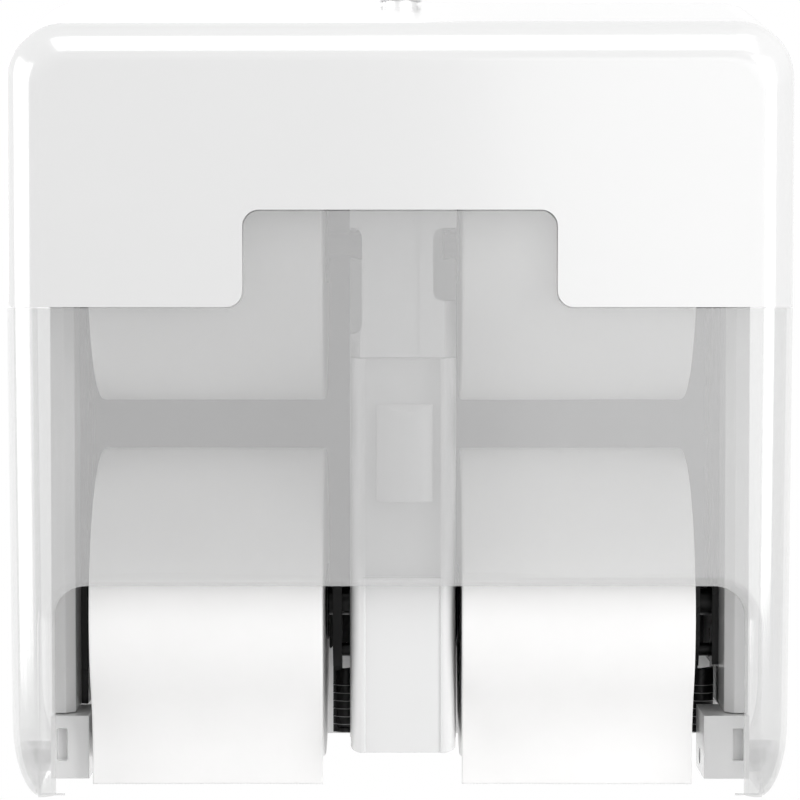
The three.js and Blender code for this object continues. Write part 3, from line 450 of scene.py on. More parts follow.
def painted_ridge_highlight(finish, place):
    """Painted highlight: 1 along the crests of a grip's ridges, which lie at even steps below its band, and 0
    beside them. The crests are painted pale in place of the reflections that light them.
    """
    height = finish.node("ShaderNodeSeparateXYZ", {}, {"Vector": place}, output=2)
    from_band = height - (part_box("left_release_lever")[0][2] + GRIP_HEIGHT - GRIP_BAND)
    beside = finish.maths("PINGPONG", from_band, RIDGE_PITCH / 2)
    below_band = finish.maths("LESS_THAN", from_band, RIDGE_WIDTH)
    return (1 - beside * (1 / RIDGE_WIDTH)) * below_band


def tissue():
    """Soft tissue: embossed dots and loose fibres on the wound face, fine uneven layers on the ends."""
    finish = Finish("tissue")
    along = finish.node("ShaderNodeUVMap", {"uv_map": "wound"})
    end = finish.node("ShaderNodeAttribute", {"attribute_name": "roll_end"}, output="Fac")
    dots = finish.node("ShaderNodeTexVoronoi", {"feature": "SMOOTH_F1"}, {"Vector": along, "Scale": 560.0})
    fibre = finish.noise(along, 2600, 4, 0.7)
    crease = finish.noise(along, 38, 3, 0.6)
    stretch = finish.node("ShaderNodeMapping", {}, {"Vector": along, "Scale": (6.0, 2300.0, 1.0)})
    layers = finish.noise(stretch, 1.0, 3, 0.6)
    wound = dots * 0.5 + fibre * 0.25 + crease * 0.6
    height = wound * (1 - end) + layers * end
    shade = crease * (1 - end) + layers * end
    finish.surface(
        Base_Color=finish.tint(shade, grey(0.91, 0.012), grey(0.95, 0.008)),
        Roughness=fibre * 0.06 + 0.9,
        Normal=finish.bump(height, 0.22, 0.12 * MM),
    )
    finish.surface(Sheen_Weight=0.15, Sheen_Roughness=0.6)
    return finish.material


def steel():
    """Plated steel with fine brushing and a mottled shine."""
    finish = Finish("steel")
    place = finish.place()
    stretch = finish.node("ShaderNodeMapping", {}, {"Vector": place, "Scale": (1.0, 1.0, 12.0)})
    brush = finish.noise(stretch, 900, 2)
    cloud = finish.noise(place, 120, 2)
    finish.surface(
        Base_Color=finish.tint(cloud, grey(0.84), grey(0.9)),
        Roughness=brush * 0.14 + 0.32,
        Normal=finish.bump(brush, 0.1, 0.03 * MM),
    )
    finish.surface(Metallic=1.0)
    return finish.material


FINISHES = {
    "white_gloss": white_gloss(),
    "smoky_gloss": smoky_gloss(),
    "white_frame": white_frame(),
    "black_frame": black_moulding("black_frame"),
    "tissue": tissue(),
    "steel": steel(),
}


# Making and finishing meshes

def strip_faces(rows, columns, closed=False):
    """Quads between neighbouring rows of a grid of points, joined round when closed."""
    across = columns if closed else columns - 1
    row, column = np.meshgrid(np.arange(rows - 1), np.arange(across), indexing="ij")
    beside = (column + 1) % columns
    this_row = row * columns
    next_row = this_row + columns
    quads = [this_row + column, this_row + beside, next_row + beside, next_row + column]
    return np.stack(quads, axis=-1).reshape(-1, 4)


def new_mesh(name, points, faces):
    """An object at the origin, with its place in its mesh."""
    mesh = bpy.data.meshes.new(name)
    mesh.from_pydata(points.reshape(-1, 3).tolist(), [], [list(face) for face in faces])
    mesh.validate()
    piece = bpy.data.objects.new(name, mesh)
    bpy.context.scene.collection.objects.link(piece)
    return piece


def loft(name, rings):
    """A closed skin over rings of points of shape (rings, points, 3), with a flat face at each end."""
    count, around = rings.shape[:2]
    quads = strip_faces(count, around, closed=True).tolist()
    first = list(range(around))[::-1]
    last = [(count - 1) * around + i for i in range(around)]
    return new_mesh(name, rings, quads + [first, last])


def outward(piece, merged=True):
    """Turns every face of a closed piece outwards, after merging doubled points where merged says so."""
    shape = bmesh.new()
    shape.from_mesh(piece.data)
    if merged:
        bmesh.ops.remove_doubles(shape, verts=shape.verts, dist=DOUBLE_REACH)
    bmesh.ops.recalc_face_normals(shape, faces=shape.faces)
    shape.to_mesh(piece.data)
    shape.free()
    return piece


def carved(piece, tools, operation="DIFFERENCE"):
    """The piece cut by, joined with or kept inside each tool, which is used up."""
    for tool in tools:
        step = piece.modifiers.new("carve", "BOOLEAN")
        step.operation = operation
        step.solver = "MANIFOLD"
        step.object = tool
    bpy.context.view_layer.update()
    ready = piece.evaluated_get(bpy.context.evaluated_depsgraph_get())
    mesh = bpy.data.meshes.new_from_object(ready)
    piece.modifiers.clear()
    old = piece.data
    piece.data = mesh
    bpy.data.meshes.remove(old)
    for tool in tools:
        bpy.data.objects.remove(tool)
    return piece


def copied(piece, name):
    twin = piece.copy()
    twin.data = piece.data.copy()
    twin.name = name
    bpy.context.scene.collection.objects.link(twin)
    return twin


def eased(piece, width, angle=EASE_ANGLE):
    """Small rounded edges that catch the light, with shading smooth across gentle facets."""
    shape = bmesh.new()
    shape.from_mesh(piece.data)
    bmesh.ops.remove_doubles(shape, verts=shape.verts, dist=SOLID_DOUBLE_REACH)
    bmesh.ops.dissolve_limit(shape, angle_limit=FLAT_ANGLE, verts=shape.verts, edges=shape.edges)
    shape.to_mesh(piece.data)
    shape.free()
    piece.data.shade_smooth()
    edge = piece.modifiers.new("eased edges", "BEVEL")
    edge.width = width
    edge.segments = EASE_SEGMENTS
    edge.limit_method = "ANGLE"
    edge.angle_limit = angle
    edge.harden_normals = True
    edge.miter_outer = "MITER_ARC"
    even = piece.modifiers.new("even shading", "WEIGHTED_NORMAL")
    even.keep_sharp = True
    return piece


def finished(piece, body, slot, *nodes):
    """Gives a piece its finish, its body and the solids that it stands for."""
    piece.data.materials.clear()
    piece.data.materials.append(FINISHES[slot])
    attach(piece, body)
    if nodes:
        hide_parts(*nodes)
    return piece


def rounded_outline(corners, steps):
    """An outline through (u, v, radius) corners, each rounded by an arc that meets both its sides.

    The arc's points lie at the radius from its centre, towards points spread evenly over its chord."""
    spots = np.array([(u, v) for u, v, _ in corners])
    radii = np.array([radius for _, _, radius in corners])
    before = np.roll(spots, 1, axis=0) - spots
    after = np.roll(spots, -1, axis=0) - spots
    before /= np.linalg.norm(before, axis=1)[:, None]
    after /= np.linalg.norm(after, axis=1)[:, None]
    half = np.arccos(np.clip((before * after).sum(axis=1), -1, 1)) / 2
    reach = radii / np.tan(half)
    share = np.linspace(0, 1, steps)[None, :, None]
    start = (spots + before * reach[:, None])[:, None]
    end = (spots + after * reach[:, None])[:, None]
    middle = before + after
    middle /= np.linalg.norm(middle, axis=1)[:, None]
    centre = (spots + middle * (radii / np.sin(half))[:, None])[:, None]
    chord = start + (end - start) * share - centre
    length = np.linalg.norm(chord, axis=2, keepdims=True)
    arc = centre + chord / np.maximum(length, NEAR_ZERO) * radii[:, None, None]
    arc = np.where(radii[:, None, None] > 0, arc, spots[:, None])
    outline = arc.reshape(-1, 2)
    apart = np.linalg.norm(outline - np.roll(outline, 1, axis=0), axis=1) > OUTLINE_GAP
    return outline[apart]


def prism_y(name, outline, depths):
    """An (X, Z) outline drawn out along Y."""
    flat = np.zeros((len(depths), len(outline), 3))
    flat[:, :, 0] = outline[:, 0]
    flat[:, :, 1] = np.array(depths)[:, None]
    flat[:, :, 2] = outline[:, 1]
    return outward(loft(name, flat))


def block(name, low, high):
    """A plain box between two corners."""
    (x0, y0, z0), (x1, y1, z1) = low, high
    outline = np.array([(x0, z0), (x1, z0), (x1, z1), (x0, z1)])
    return prism_y(name, outline, [y0, y1])


def bar(name, radius, ends, centre, axis=0):
    """A round bar along one axis, between two ends: centre plus radius times (cos, sin) on the others."""
    turn = np.linspace(0, 2 * math.pi, BAR_FACETS, endpoint=False)
    rings = np.zeros((2, BAR_FACETS, 3))
    others = [i for i in range(3) if i != axis]
    rings[:, :, axis] = np.array(ends)[:, None]
    rings[:, :, others[0]] = centre[0] + radius * np.cos(turn)
    rings[:, :, others[1]] = centre[1] + radius * np.sin(turn)
    return outward(loft(name, rings))


# Cover

def cover_rings(depth, inset, offset):
    """Upright sections of the cover, one for each depth, drawn in by inset and by offset.

    Each is four sides that lean with the draft and the falling top, joined by quarter ellipses: corner
    centre plus (width times cos, height times sin) of an angle that runs a quarter turn in each corner.
    The top corners are round and the bottom ones tall. Below the seam the upright sides lean inwards
    evenly with the drop."""
    half = HALF_WIDTH + depth * DRAFT - inset - offset
    high = COVER_TOP + depth * TOP_FALL - inset - offset
    low = np.full_like(depth, COVER_BOTTOM + offset) + inset
    shrink = CORNER_SHRINK * inset + offset
    top = TOP_CORNER - shrink
    bottom = BOTTOM_CORNER - shrink
    tall = BOTTOM_CORNER_HEIGHT - shrink
    centre_x = np.stack([half - top, top - half, bottom - half, half - bottom], axis=1)[:, :, None]
    centre_z = np.stack([high - top, high - top, low + tall, low + tall], axis=1)[:, :, None]
    wide = np.stack([top, top, bottom, bottom], axis=1)[:, :, None]
    rise = np.stack([top, top, tall, tall], axis=1)[:, :, None]
    share = np.linspace(0, 1, CORNER_STEPS + 1)
    turn = (np.arange(4)[:, None] + share[None, :]) * (math.pi / 2)
    corner_x = centre_x + wide * np.cos(turn)
    corner_z = centre_z + rise * np.sin(turn)
    down = np.linspace(0, 1, SIDE_STEPS + 2)[1:-1]
    side_z = (high - top)[:, None] + (low + tall - high + top)[:, None] * down
    side_x = np.broadcast_to(half[:, None], side_z.shape)
    top_x, bottom_x = np.split(corner_x.swapaxes(0, 1), 2)
    top_z, bottom_z = np.split(corner_z.swapaxes(0, 1), 2)
    x = np.concatenate([*top_x, -side_x, *bottom_x, side_x], axis=1)
    z = np.concatenate([*top_z, side_z, *bottom_z, side_z[:, ::-1]], axis=1)
    x = x - np.sign(x) * SIDE_LEAN * np.clip(1 - (z - COVER_BOTTOM) / SEAM_RISE, 0, 1)
    return np.stack([x, np.broadcast_to(depth[:, None], x.shape), z], axis=-1)


def cover_form(offset):
    """Rings from the rear to the front face: the front edge is a quarter ellipse in depth and inset."""
    turn = np.linspace(0, math.pi / 2, FRONT_STEPS + 1)
    depth = FRONT + FRONT_ROUND_DEPTH - (FRONT_ROUND_DEPTH - offset) * np.sin(turn)
    inset = (FRONT_ROUND_INSET - offset) * (1 - np.cos(turn))
    return cover_rings(np.append(REAR, depth), np.append(0.0, inset), offset)


def cover_shell():
    """One closed wall: the outer form, the inner form turned inside out, and a rim that joins them."""
    outer = cover_form(0.0)
    inner = cover_form(WALL)
    count, around = outer.shape[:2]
    skin = strip_faces(count, around, closed=True)
    second = count * around
    first_ring = np.arange(around)
    beside = (first_ring + 1) % around
    rim = np.stack([first_ring, first_ring + second, beside + second, beside], axis=1)
    front = [(count - 1) * around + i for i in range(around)]
    hollow = [second + i for i in front[::-1]]
    faces = skin.tolist() + (skin[:, ::-1] + second).tolist() + rim.tolist() + [front, hollow]
    return outward(new_mesh("shell", np.concatenate([outer, inner]), faces))


def below_seam(name, gap):
    """The space below the cover's seam, with the tab that rises in the middle, drawn in by gap."""
    seam = COVER_BOTTOM + SEAM_RISE - gap
    low = COVER_BOTTOM - OVERRUN
    wide = HALF_WIDTH + OVERRUN
    half = TAB_HALF - gap
    top = seam + TAB_HEIGHT
    corners = [
        (-wide, low, 0), (wide, low, 0), (wide, seam, 0),
        (half, seam, TAB_CORNER), (half, top, TAB_CORNER),
        (-half, top, TAB_CORNER), (-half, seam, TAB_CORNER), (-wide, seam, 0),
    ]
    return prism_y(name, rounded_outline(corners, TAB_CORNER_STEPS), [FRONT - OVERRUN, OVERRUN])


def opening_outline(spread):
    """The dispensing opening's edge, grown by spread at its sides and by a share of that at its top."""
    half = FRAME_INNER - OPENING_INSET + spread
    high = COVER_BOTTOM + OPENING_RISE + spread * LIP_TOP_WIDTH_SHARE
    low = COVER_BOTTOM + WALL + FIT
    corner = OPENING_CORNER + spread
    corners = [(-half, low, 0), (half, low, 0), (half, high, corner), (-half, high, corner)]
    return rounded_outline(corners, OPENING_CORNER_STEPS)


def opening_tool():
    depths = [FRONT - OVERRUN, FRONT + FRONT_ROUND_DEPTH + OVERRUN]
    return prism_y("opening", opening_outline(LIP_WIDTH), depths)


def opening_lip():
    """The wall's edge that rolls in to the opening, carried along the opening's sides and top.

    Its section is a quarter round of the lip's width: inwards by one minus the sine of the turn, and back
    by one minus its cosine times a depth share, which falls from 1 at the sides to a little along the top.
    The inner face is the outer one moved by the wall along (sin, cos) of the turn."""
    turn = np.linspace(0, math.pi / 2, LIP_STEPS)
    out_spread = LIP_WIDTH * (1 - np.sin(turn))
    out_back = LIP_WIDTH * (1 - np.cos(turn))
    in_spread = out_spread + LIP_WALL * np.sin(turn)
    start = np.array([LIP_WIDTH + LIP_OVERLAP])
    spread = np.concatenate([start, out_spread, in_spread[::-1], start])
    bent = np.concatenate([[0.0], out_back, out_back[::-1], [0.0]])
    wall = LIP_WALL * np.cos(turn)
    thick = np.concatenate([[LIP_OVERLAP], np.zeros(LIP_STEPS), wall[::-1], [LIP_WALL - LIP_OVERLAP]])
    outlines = np.array([opening_outline(value) for value in spread])
    outlines = np.roll(outlines, -1, axis=1)
    edge = outlines[1]
    top = COVER_BOTTOM + OPENING_RISE + LIP_WIDTH * LIP_TOP_WIDTH_SHARE
    rise = np.clip((edge[:, 1] - (top - OPENING_CORNER - LIP_WIDTH)) / (OPENING_CORNER + LIP_WIDTH), 0, 1)
    share = 1 - (1 - LIP_TOP_DEPTH_SHARE) * rise ** 2
    depth = FRONT + LIP_SETBACK + bent[:, None] * share[None, :] + thick[:, None]
    rings = np.stack([outlines[:, :, 0], depth, outlines[:, :, 1]], axis=-1)
    return outward(loft("lip", rings.transpose(1, 0, 2)))


def cover_underside_tools():
    """What is cut out of the cover's bottom wall: all between the two flanges, less the hooks in front."""
    low = COVER_BOTTOM - OVERRUN
    high = COVER_BOTTOM + UNDERSIDE_TRIM
    hook = FRAME_INNER - OPENING_INSET - HOOK_REACH
    flange = FRAME_INNER + FLANGE_OUTSET
    front = block("front", (-hook, FRONT - OVERRUN, low), (hook, FRONT + HOOK_LENGTH, high))
    behind = FRONT + HOOK_LENGTH - FIT
    rear = block("rear", (-flange, behind, low), (flange, OVERRUN, high))
    return [front, rear]


def hinge_bars():
    """The bosses that take the hinge pins and their blind bores, one of each at either side.

    A bore ends inside the wall. At the hinge's height the wall stands further in by the lean below the
    seam and by the bottom corner's ellipse: its width times (1 - root(1 - share squared)), where share is
    how far down the corner the hinge lies."""
    rise = HINGE_Z - COVER_BOTTOM
    share = max(1 - rise / BOTTOM_CORNER_HEIGHT, 0)
    drawn_in = BOTTOM_CORNER * (1 - math.sqrt(1 - share ** 2)) + SIDE_LEAN * (1 - rise / SEAM_RISE)
    half = HALF_WIDTH + HINGE_Y * DRAFT
    bosses, bores = [], []
    for side in (-1, 1):
        inner = side * (FRAME_OUTER + HINGE_BOSS_INSET)
        outer = side * half
        blind = side * (half - drawn_in - WALL - HINGE_PIN_BLIND)
        bosses.append(bar("boss", HINGE_BOSS_RADIUS, (inner, outer), (HINGE_Y, HINGE_Z)))
        bores.append(bar("bore", HINGE_BORE_RADIUS, (inner - side * OVERRUN, blind), (HINGE_Y, HINGE_Z)))
    return bosses, bores


def make_cover():
    shell = carved(cover_shell(), cover_underside_tools())
    upper = copied(shell, "upper_cover")
    hole_ends = (COVER_TOP - TOP_CORNER, COVER_TOP + OVERRUN)
    lock_hole = bar("hole", LOCK_HOLE_RADIUS, hole_ends, (0, LOCK_Y), axis=2)
    carved(upper, [below_seam("seam", -FIT), lock_hole])
    finished(eased(upper, COVER_EASE), "cover", "white_gloss", "cover_upper")

    lower = carved(shell, [below_seam("seam", 0)], "INTERSECT")
    lower.name = "lower_cover"
    bosses, bores = hinge_bars()
    inside = outward(loft("inside", cover_form(WALL / 2)))
    forms = (inside, copied(inside, "inside_twin"))
    bosses = [carved(boss, [form], "INTERSECT") for boss, form in zip(bosses, forms)]
    carved(lower, bosses, "UNION")
    carved(lower, [opening_tool(), *bores])
    carved(lower, [opening_lip()], "UNION")
    finished(eased(lower, COVER_EASE), "cover", "smoky_gloss", "cover_lower")


# Rigid pieces kept from the solids

# Widths of their eased edges, in millimetres
EASED_NODES = {
    "lock_nut": 0.4,
    "lock_cam": 0.3,
    "lock_catch": 0.4,
    "back_plate": 0.5,
    "back_liner": 0.15,
    "left_side_frame": 0.5,
    "right_side_frame": 0.5,
    "left_lower_bracket": 0.7,
    "right_lower_bracket": 0.7,
    "left_hinge_pin": 0.5,
    "right_hinge_pin": 0.5,
    "column_base": 0.6,
    "column_plate": 0.4,
    "column_head": 0.5,
    "wall_screw_upper_left": 0.5,
    "wall_screw_upper_right": 0.5,
    "wall_screw_lower_left": 0.5,
    "wall_screw_lower_right": 0.5,
    "column_screw_upper": 0.5,
    "column_screw_lower": 0.5,
    "left_outer_track": 0.5,
    "left_inner_track": 0.5,
    "right_inner_track": 0.5,
    "right_outer_track": 0.5,
    "left_outer_gate": 0.3,
    "left_inner_gate": 0.3,
    "right_inner_gate": 0.3,
    "right_outer_gate": 0.3,
    "change_slide": 0.6,
}


def freed_copy(node, name):
    """A copy of a solid that rides on nothing yet."""
    twin = copied(frame["nodes"][node], name)
    twin.parent = None
    return twin


def make_eased(node, width):
    """A solid kept as it is, with eased edges."""
    piece = freed_copy(node, node + "_eased")
    finished(eased(piece, width), BODY_OF[node], SLOT_OF[node], node)


def make_rigid_pieces():
    for node, width in EASED_NODES.items():
        make_eased(node, width * MM)


# Column front

def flank_form(name, face_edge, side):
    """An upright rounding in front of a slanted flank: a quarter ellipse from the face's edge to the side.

    Across goes from the edge to the side with the sine of the turn, and depth grows by one minus its
    cosine. Its rear is a straight line that lies a little inside the flank."""
    low, high = (np.array(corner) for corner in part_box("column_front"))
    inwards = FLANK_OVERLAP if side < face_edge else -FLANK_OVERLAP
    turn = np.linspace(0, math.pi / 2, FLANK_STEPS)
    x = face_edge + (side - face_edge) * np.sin(turn)
    y = low[1] + FLANK_DEPTH * (1 - np.cos(turn))
    rear_line = [(side + inwards, y[-1]), (face_edge + inwards, y[0] + FLANK_OVERLAP)]
    outline = np.append(np.stack([x, y], axis=1), rear_line, axis=0)
    rings = np.stack([np.column_stack([outline, np.full(len(outline), z)]) for z in (low[2], high[2])])
    return outward(loft(name, rings))


def make_column_front():
    low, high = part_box("column_front")
    front = outward(freed_copy("column_front", "column_front_rounded"))
    left = flank_form("left_flank", FACE_CENTRE - FACE_HALF, low[0])
    right = flank_form("right_flank", FACE_CENTRE + FACE_HALF, high[0])
    carved(front, [left, right], "UNION")
    finished(eased(front, COLUMN_EASE), BODY_OF["column_front"], SLOT_OF["column_front"], "column_front")


# Release levers

def grip_form(name, middle, foot):
    """A half-round bar along Z, flat at the back: its radius times (cos, sin) over half a turn.

    Along the height the radius grows as a quarter circle above the foot and stands out in thin ridges, each
    a bell curve of the height, below a plain band at the top, whose end slopes up to the right."""
    height = np.linspace(0, GRIP_HEIGHT, GRIP_ROWS)
    turn = np.linspace(0, math.pi, GRIP_COLUMNS)
    rounding = np.sqrt(1 - (1 - np.clip(height / GRIP_ROUNDING, GRIP_ROUNDING_START, 1)) ** 2)
    ridges = GRIP_HEIGHT - GRIP_BAND - np.arange(RIDGES) * RIDGE_PITCH
    bells = np.exp(-((height[:, None] - ridges[None, :]) / RIDGE_WIDTH) ** 2).sum(axis=1)
    radius = GRIP_RADIUS * (GRIP_FOOT_SHARE + (1 - GRIP_FOOT_SHARE) * rounding) + RIDGE_RISE * bells
    slope = GRIP_SLOPE * np.clip((height - (GRIP_HEIGHT - GRIP_BAND)) / GRIP_BAND, 0, 1)
    out = np.cos(turn)[None, :]
    x = middle[0] + radius[:, None] * out
    y = middle[1] - radius[:, None] * np.sin(turn)[None, :]
    z = foot + height[:, None] + slope[:, None] * out
    return outward(loft(name, np.stack(np.broadcast_arrays(x, y, z), axis=-1)))


def make_levers():
    # The grips' ridge crests carry a painted highlight, pale lines in place of reflections
    grip_finish = black_moulding("black_grip", painted_ridge_highlight)
    for side in ("left", "right"):
        node = side + "_release_lever"
        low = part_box(node)[0]
        pivot = JOINTS[side + "_lever_press"]["pos_m"]
        lever = outward(freed_copy(node, node + "_ribbed"))
        grip = grip_form("grip", (low[0] + GRIP_RADIUS, pivot[1]), low[2])
        carved(lever, [grip], "UNION")
        finished(eased(lever, GRIP_EASE, GRIP_EASE_ANGLE), BODY_OF[node], SLOT_OF[node], node)
        lever.data.materials[0] = grip_finish


# Lock knob

def make_lock_knob():
    """A profile turned about the lock's axis: a domed cap with a rounded rim, a neck and a shaft."""
    low, high = (Vector(corner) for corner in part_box("lock_barrel"))
    cap_low = high.z - CAP_HEIGHT
    neck_low = low.z + NECK_RISE
    under_cap, up_cap = CAP_FOOT_CHAMFER
    turn = np.linspace(0, math.pi / 2, CAP_RIM_STEPS)
    rim_out = CAP_RADIUS - CAP_RIM + CAP_RIM * np.sin(turn)
    rim_high = high.z - CAP_DOME - CAP_RIM + CAP_RIM * np.cos(turn)
    profile = np.concatenate([
        [(0.0, low.z), (SHAFT_RADIUS - SHAFT_CHAMFER, low.z)],
        [(SHAFT_RADIUS, low.z + SHAFT_CHAMFER), (SHAFT_RADIUS, neck_low)],
        [(NECK_RADIUS - NECK_CHAMFER, neck_low), (NECK_RADIUS, neck_low + NECK_CHAMFER)],
        [(NECK_RADIUS, cap_low), (CAP_RADIUS - under_cap, cap_low), (CAP_RADIUS, cap_low + up_cap)],
        np.stack([rim_out, rim_high], axis=1)[::-1],
        [(CROWN_RADIUS, high.z - CROWN_FALL), (0.0, high.z)],
    ])
    around = np.linspace(0, 2 * math.pi, KNOB_FACETS, endpoint=False)
    out = profile[:, 0, None]
    high_up = np.broadcast_to(profile[:, 1, None], (len(profile), KNOB_FACETS))
    points = np.stack([out * np.cos(around), LOCK_Y + out * np.sin(around), high_up], axis=-1)
    knob = outward(new_mesh("lock_knob", points, strip_faces(len(profile), KNOB_FACETS, closed=True)))
    keyway = block(
        "keyway",
        (-KEYWAY_HALF_WIDTH, LOCK_Y - KEYWAY_HALF_LENGTH, high.z - KEYWAY_DEPTH),
        (KEYWAY_HALF_WIDTH, LOCK_Y + KEYWAY_HALF_LENGTH, high.z + OVERRUN),
    )
    carved(knob, [keyway])
    finished(eased(knob, KNOB_EASE), "lock", "steel", "lock_barrel")


# Tissue rolls and their hanging ends

def with_wound_map(piece, across, along, ends=None):
    """Stores the wound map (metres along and across the paper) and marks the points on a roll's ends."""
    mesh = piece.data
    corners = np.empty(len(mesh.loops), dtype=np.int32)
    mesh.loops.foreach_get("vertex_index", corners)
    layer = mesh.uv_layers.new(name="wound")
    flat = np.stack([along.ravel()[corners], across.ravel()[corners]], axis=1)
    layer.data.foreach_set("uv", flat.ravel().astype(np.float32))
    mark = mesh.attributes.new("roll_end", "FLOAT", "POINT")
    values = np.zeros(len(mesh.vertices)) if ends is None else ends.ravel()
    mark.data.foreach_set("value", values.astype(np.float32))


def roll_profile(left, right, radius):
    """Places along X, radii and a mark that is 1 on the ends, from the left bore edge to the right one.

    It crosses one end, rounds the eased edge by a quarter circle, runs along the roll and comes back over
    the other end."""
    turn = np.linspace(0, math.pi / 2, ROLL_EASE_STEPS)[1:-1]
    over_end = np.linspace(ROLL_BORE, radius - ROLL_EASE, ROLL_END_ROWS)
    x = np.concatenate([
        np.full(ROLL_END_ROWS, left),
        left + ROLL_EASE * (1 - np.cos(turn)),
        np.linspace(left + ROLL_EASE, right - ROLL_EASE, ROLL_FACE_ROWS),
        right - ROLL_EASE * (1 - np.sin(turn)),
        np.full(ROLL_END_ROWS, right),
    ])
    r = np.concatenate([
        over_end,
        radius - ROLL_EASE * (1 - np.sin(turn)),
        np.full(ROLL_FACE_ROWS, radius),
        radius - ROLL_EASE * (1 - np.cos(turn)),
        over_end[::-1],
    ])
    end = np.ones(ROLL_END_ROWS)
    ends = np.concatenate([end, np.zeros(ROLL_FACE_ROWS + 2 * len(turn)), end])
    return x, r, ends


def make_roll(name, body, seed):
    """A roll turned about its spindle: radius times (cos, sin) of the winding angle.

    The wound face sinks by one layer over a turn, so a tail step shows, and waves a little round and
    along. The ends sink inwards in rings of uneven depth."""
    low, high = (np.array(corner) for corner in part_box(name))
    radius = (high[2] - low[2]) / 2
    middle = (low + high) / 2
    x, r, ends = roll_profile(low[0], high[0], radius)
    chance = np.random.default_rng(seed)
    bands = np.linspace(ROLL_BORE, radius, END_RIPPLE_BANDS)
    ripple = np.interp(r, bands, chance.uniform(-1, 1, END_RIPPLE_BANDS)) * END_RIPPLE * ends
    x = x + np.where(x < middle[0], 1, -1) * np.abs(ripple)
    winding = np.linspace(0, 2 * math.pi, ROLL_COLUMNS, endpoint=False)
    sink = ROLL_LAYER * (winding / (2 * math.pi))[None, :]
    round_waves = ROLL_WAVE * np.sin(ROLL_WAVES_ROUND * winding + seed)[None, :]
    waves = round_waves * np.sin(x * ROLL_WAVES_ALONG + seed)[:, None]
    spread = (r / radius)[:, None] ** 2
    reach = r[:, None] - (sink - waves + ROLL_WAVE) * spread
    points = np.stack([
        np.broadcast_to(x[:, None], reach.shape),
        middle[1] + reach * np.cos(winding + ROLL_TAIL),
        middle[2] + reach * np.sin(winding + ROLL_TAIL),
    ], axis=-1)
    roll = outward(loft(name + "_tissue", points), merged=False)
    path = np.cumsum(np.append(0, np.hypot(np.diff(x), np.diff(r))))
    with_wound_map(
        roll,
        np.broadcast_to(path[:, None], reach.shape),
        np.broadcast_to(winding * radius, reach.shape),
        np.broadcast_to(ends[:, None], reach.shape),
    )
    roll.data.shade_smooth()
    roll.data.set_sharp_from_angle(angle=ROLL_SHARP_ANGLE)
    return finished(roll, body, "tissue", name)


def make_sheet(name, roll_name, seed):
    """A hanging end: it follows its roll from above the spindle to below it, then straightens and hangs.

    Along s the path's lean from upright is the roll's own angle, and past the leaving point it falls
    evenly to nothing; depth and height are the running sums of its sine and cosine. The hanging part waves
    softly across its width, more towards its torn edge, which has small perforation teeth."""
    low, high = (np.array(corner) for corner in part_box(roll_name))
    hang_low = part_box(name)[0][2]
    middle = (low + high) / 2
    radius = (high[2] - low[2]) / 2 + SHEET_THICKNESS
    wrap = radius * (SHEET_ABOVE + SHEET_LEAVE)
    drop = middle[2] - radius * math.sin(SHEET_LEAVE) - hang_low
    gathered = SHEET_STRAIGHTENING * (1 - math.sin(SHEET_LEAVE) / SHEET_LEAVE)
    length = wrap + drop + gathered
    s = np.linspace(0, length, SHEET_POINTS)
    on_roll = np.minimum(s, wrap) / radius - SHEET_ABOVE
    lean = on_roll * (1 - np.clip((s - wrap) / SHEET_STRAIGHTENING, 0, 1))
    between = (lean[1:] + lean[:-1]) / 2
    step = np.diff(s)
    start_y = middle[1] - radius * math.cos(SHEET_ABOVE)
    start_z = middle[2] + radius * math.sin(SHEET_ABOVE)
    path_y = start_y + np.append(0, np.cumsum(np.sin(between) * step))
    path_z = start_z - np.append(0, np.cumsum(np.cos(between) * step))
    tuck = SHEET_TUCK * np.clip(1 - s / SHEET_TUCK_LENGTH, 0, 1) ** 2
    y = (path_y + tuck * np.cos(lean))[:, None]
    z = (path_z + tuck * np.sin(lean))[:, None]
    share = (np.clip(s - wrap, 0, None) / (length - wrap))[:, None]
    x = np.linspace(low[0] + SHEET_INSET, high[0] - SHEET_INSET, SHEET_COLUMNS)[None, :]
    across = (x - low[0]) / (high[0] - low[0])
    long_wave = np.sin(across * LONG_WAVE + seed) * LONG_WAVE_SHARE
    short_wave = np.sin(across * SHORT_WAVE + seed * 2) * SHORT_WAVE_SHARE
    y = y - share ** 2 * (SHEET_FORWARD + (long_wave + short_wave) * SHEET_WAVE)
    teeth = np.abs(x / TEETH_PITCH % 1 - 0.5) * TEETH_LENGTH
    z = z + teeth * np.clip((share - (1 - TEETH_SHARE)) / TEETH_SHARE, 0, 1)
    points = np.stack(np.broadcast_arrays(x, y, z), axis=-1)
    spread = (SHEET_POINTS, SHEET_COLUMNS)
    sheet = new_mesh(name + "_tissue", points, strip_faces(*spread))
    with_wound_map(sheet, np.broadcast_to(x, spread), np.broadcast_to(s[:, None], spread))
    sheet.data.shade_smooth()
    thickened = sheet.modifiers.new("thickness", "SOLIDIFY")
    thickened.thickness = SHEET_WALL
    thickened.offset = 0
    finished(sheet, "housing", "tissue", name)


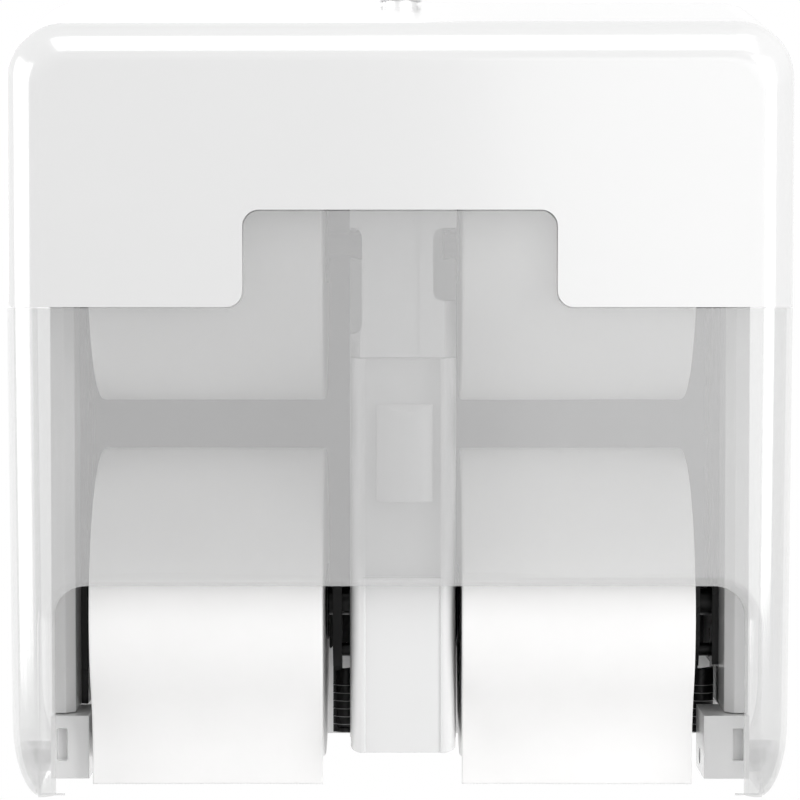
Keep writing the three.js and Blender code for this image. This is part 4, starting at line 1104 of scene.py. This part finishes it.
def make_tissue():
    """Each roll with its two spindle plugs, and a hanging end on each working roll."""
    for bay_seed, bay in enumerate(("left", "right")):
        for row_seed, row in enumerate(("reserve", "working")):
            body = f"{bay}_{row}"
            roll = make_roll(body + "_roll", body, 3 + 2 * bay_seed + row_seed)
            for side in ("left", "right"):
                make_eased(f"{body}_plug_{side}", PLUG_EASE)
        make_sheet(bay + "_sheet", bay + "_working_roll", 1.7 + 2.4 * bay_seed)


# Return spring

def make_spring():
    """A wire along a helix about an upright axis, with closed end turns.

    Centre: axis plus radius times (cos, sin) of the turn, rising by a share that is slow at both ends."""
    low, high = (np.array(corner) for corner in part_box("change_spring"))
    radius = (high[0] - low[0]) / 2 - SPRING_WIRE
    centre = (low + high) / 2
    share = np.linspace(0, 1, SPRING_CURLS * SPRING_CURL_STEPS)
    turn = share * SPRING_CURLS * 2 * math.pi
    ease = share - np.sin(share * 2 * math.pi) * SPRING_END_CLOSING
    height = low[2] + SPRING_WIRE + (high[2] - low[2] - 2 * SPRING_WIRE) * ease
    out = np.stack([np.cos(turn), np.sin(turn), np.zeros_like(turn)], axis=1)
    up = np.array([0.0, 0.0, 1.0])
    spine = np.stack([centre[0] + radius * np.cos(turn), centre[1] + radius * np.sin(turn), height], axis=1)
    section = np.linspace(0, 2 * math.pi, SPRING_FACETS, endpoint=False)
    rings = spine[:, None] + SPRING_WIRE * (
        out[:, None] * np.cos(section)[None, :, None] + up * np.sin(section)[None, :, None]
    )
    spring = outward(loft("return_spring", rings))
    spring.data.shade_smooth()
    spring.data.materials.append(FINISHES["steel"])
    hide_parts("change_spring")
    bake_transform(spring)


# Floor

def make_floor():
    """A pale floor well below the dispenser, out of the main view."""
    half = FLOOR_HALF_WIDTH
    corners = [(-half, FLOOR_FRONT), (half, FLOOR_FRONT), (half, FLOOR_REAR), (-half, FLOOR_REAR)]
    points = np.array([(x, y, FLOOR_HEIGHT) for x, y in corners])
    floor = new_mesh("floor", points, [(0, 1, 2, 3)])
    finish = Finish("floor")
    cloud = finish.noise(finish.place(), 3, 2)
    finish.surface(Base_Color=finish.tint(cloud, grey(0.84), grey(0.87)), Roughness=0.85)
    floor.data.materials.append(finish.material)


bpy.context.scene.view_settings.view_transform = "Standard"
set_camera()
set_light()
set_world()
make_floor()
make_cover()
make_rigid_pieces()
make_column_front()
make_levers()
make_lock_knob()
make_tissue()
make_spring()
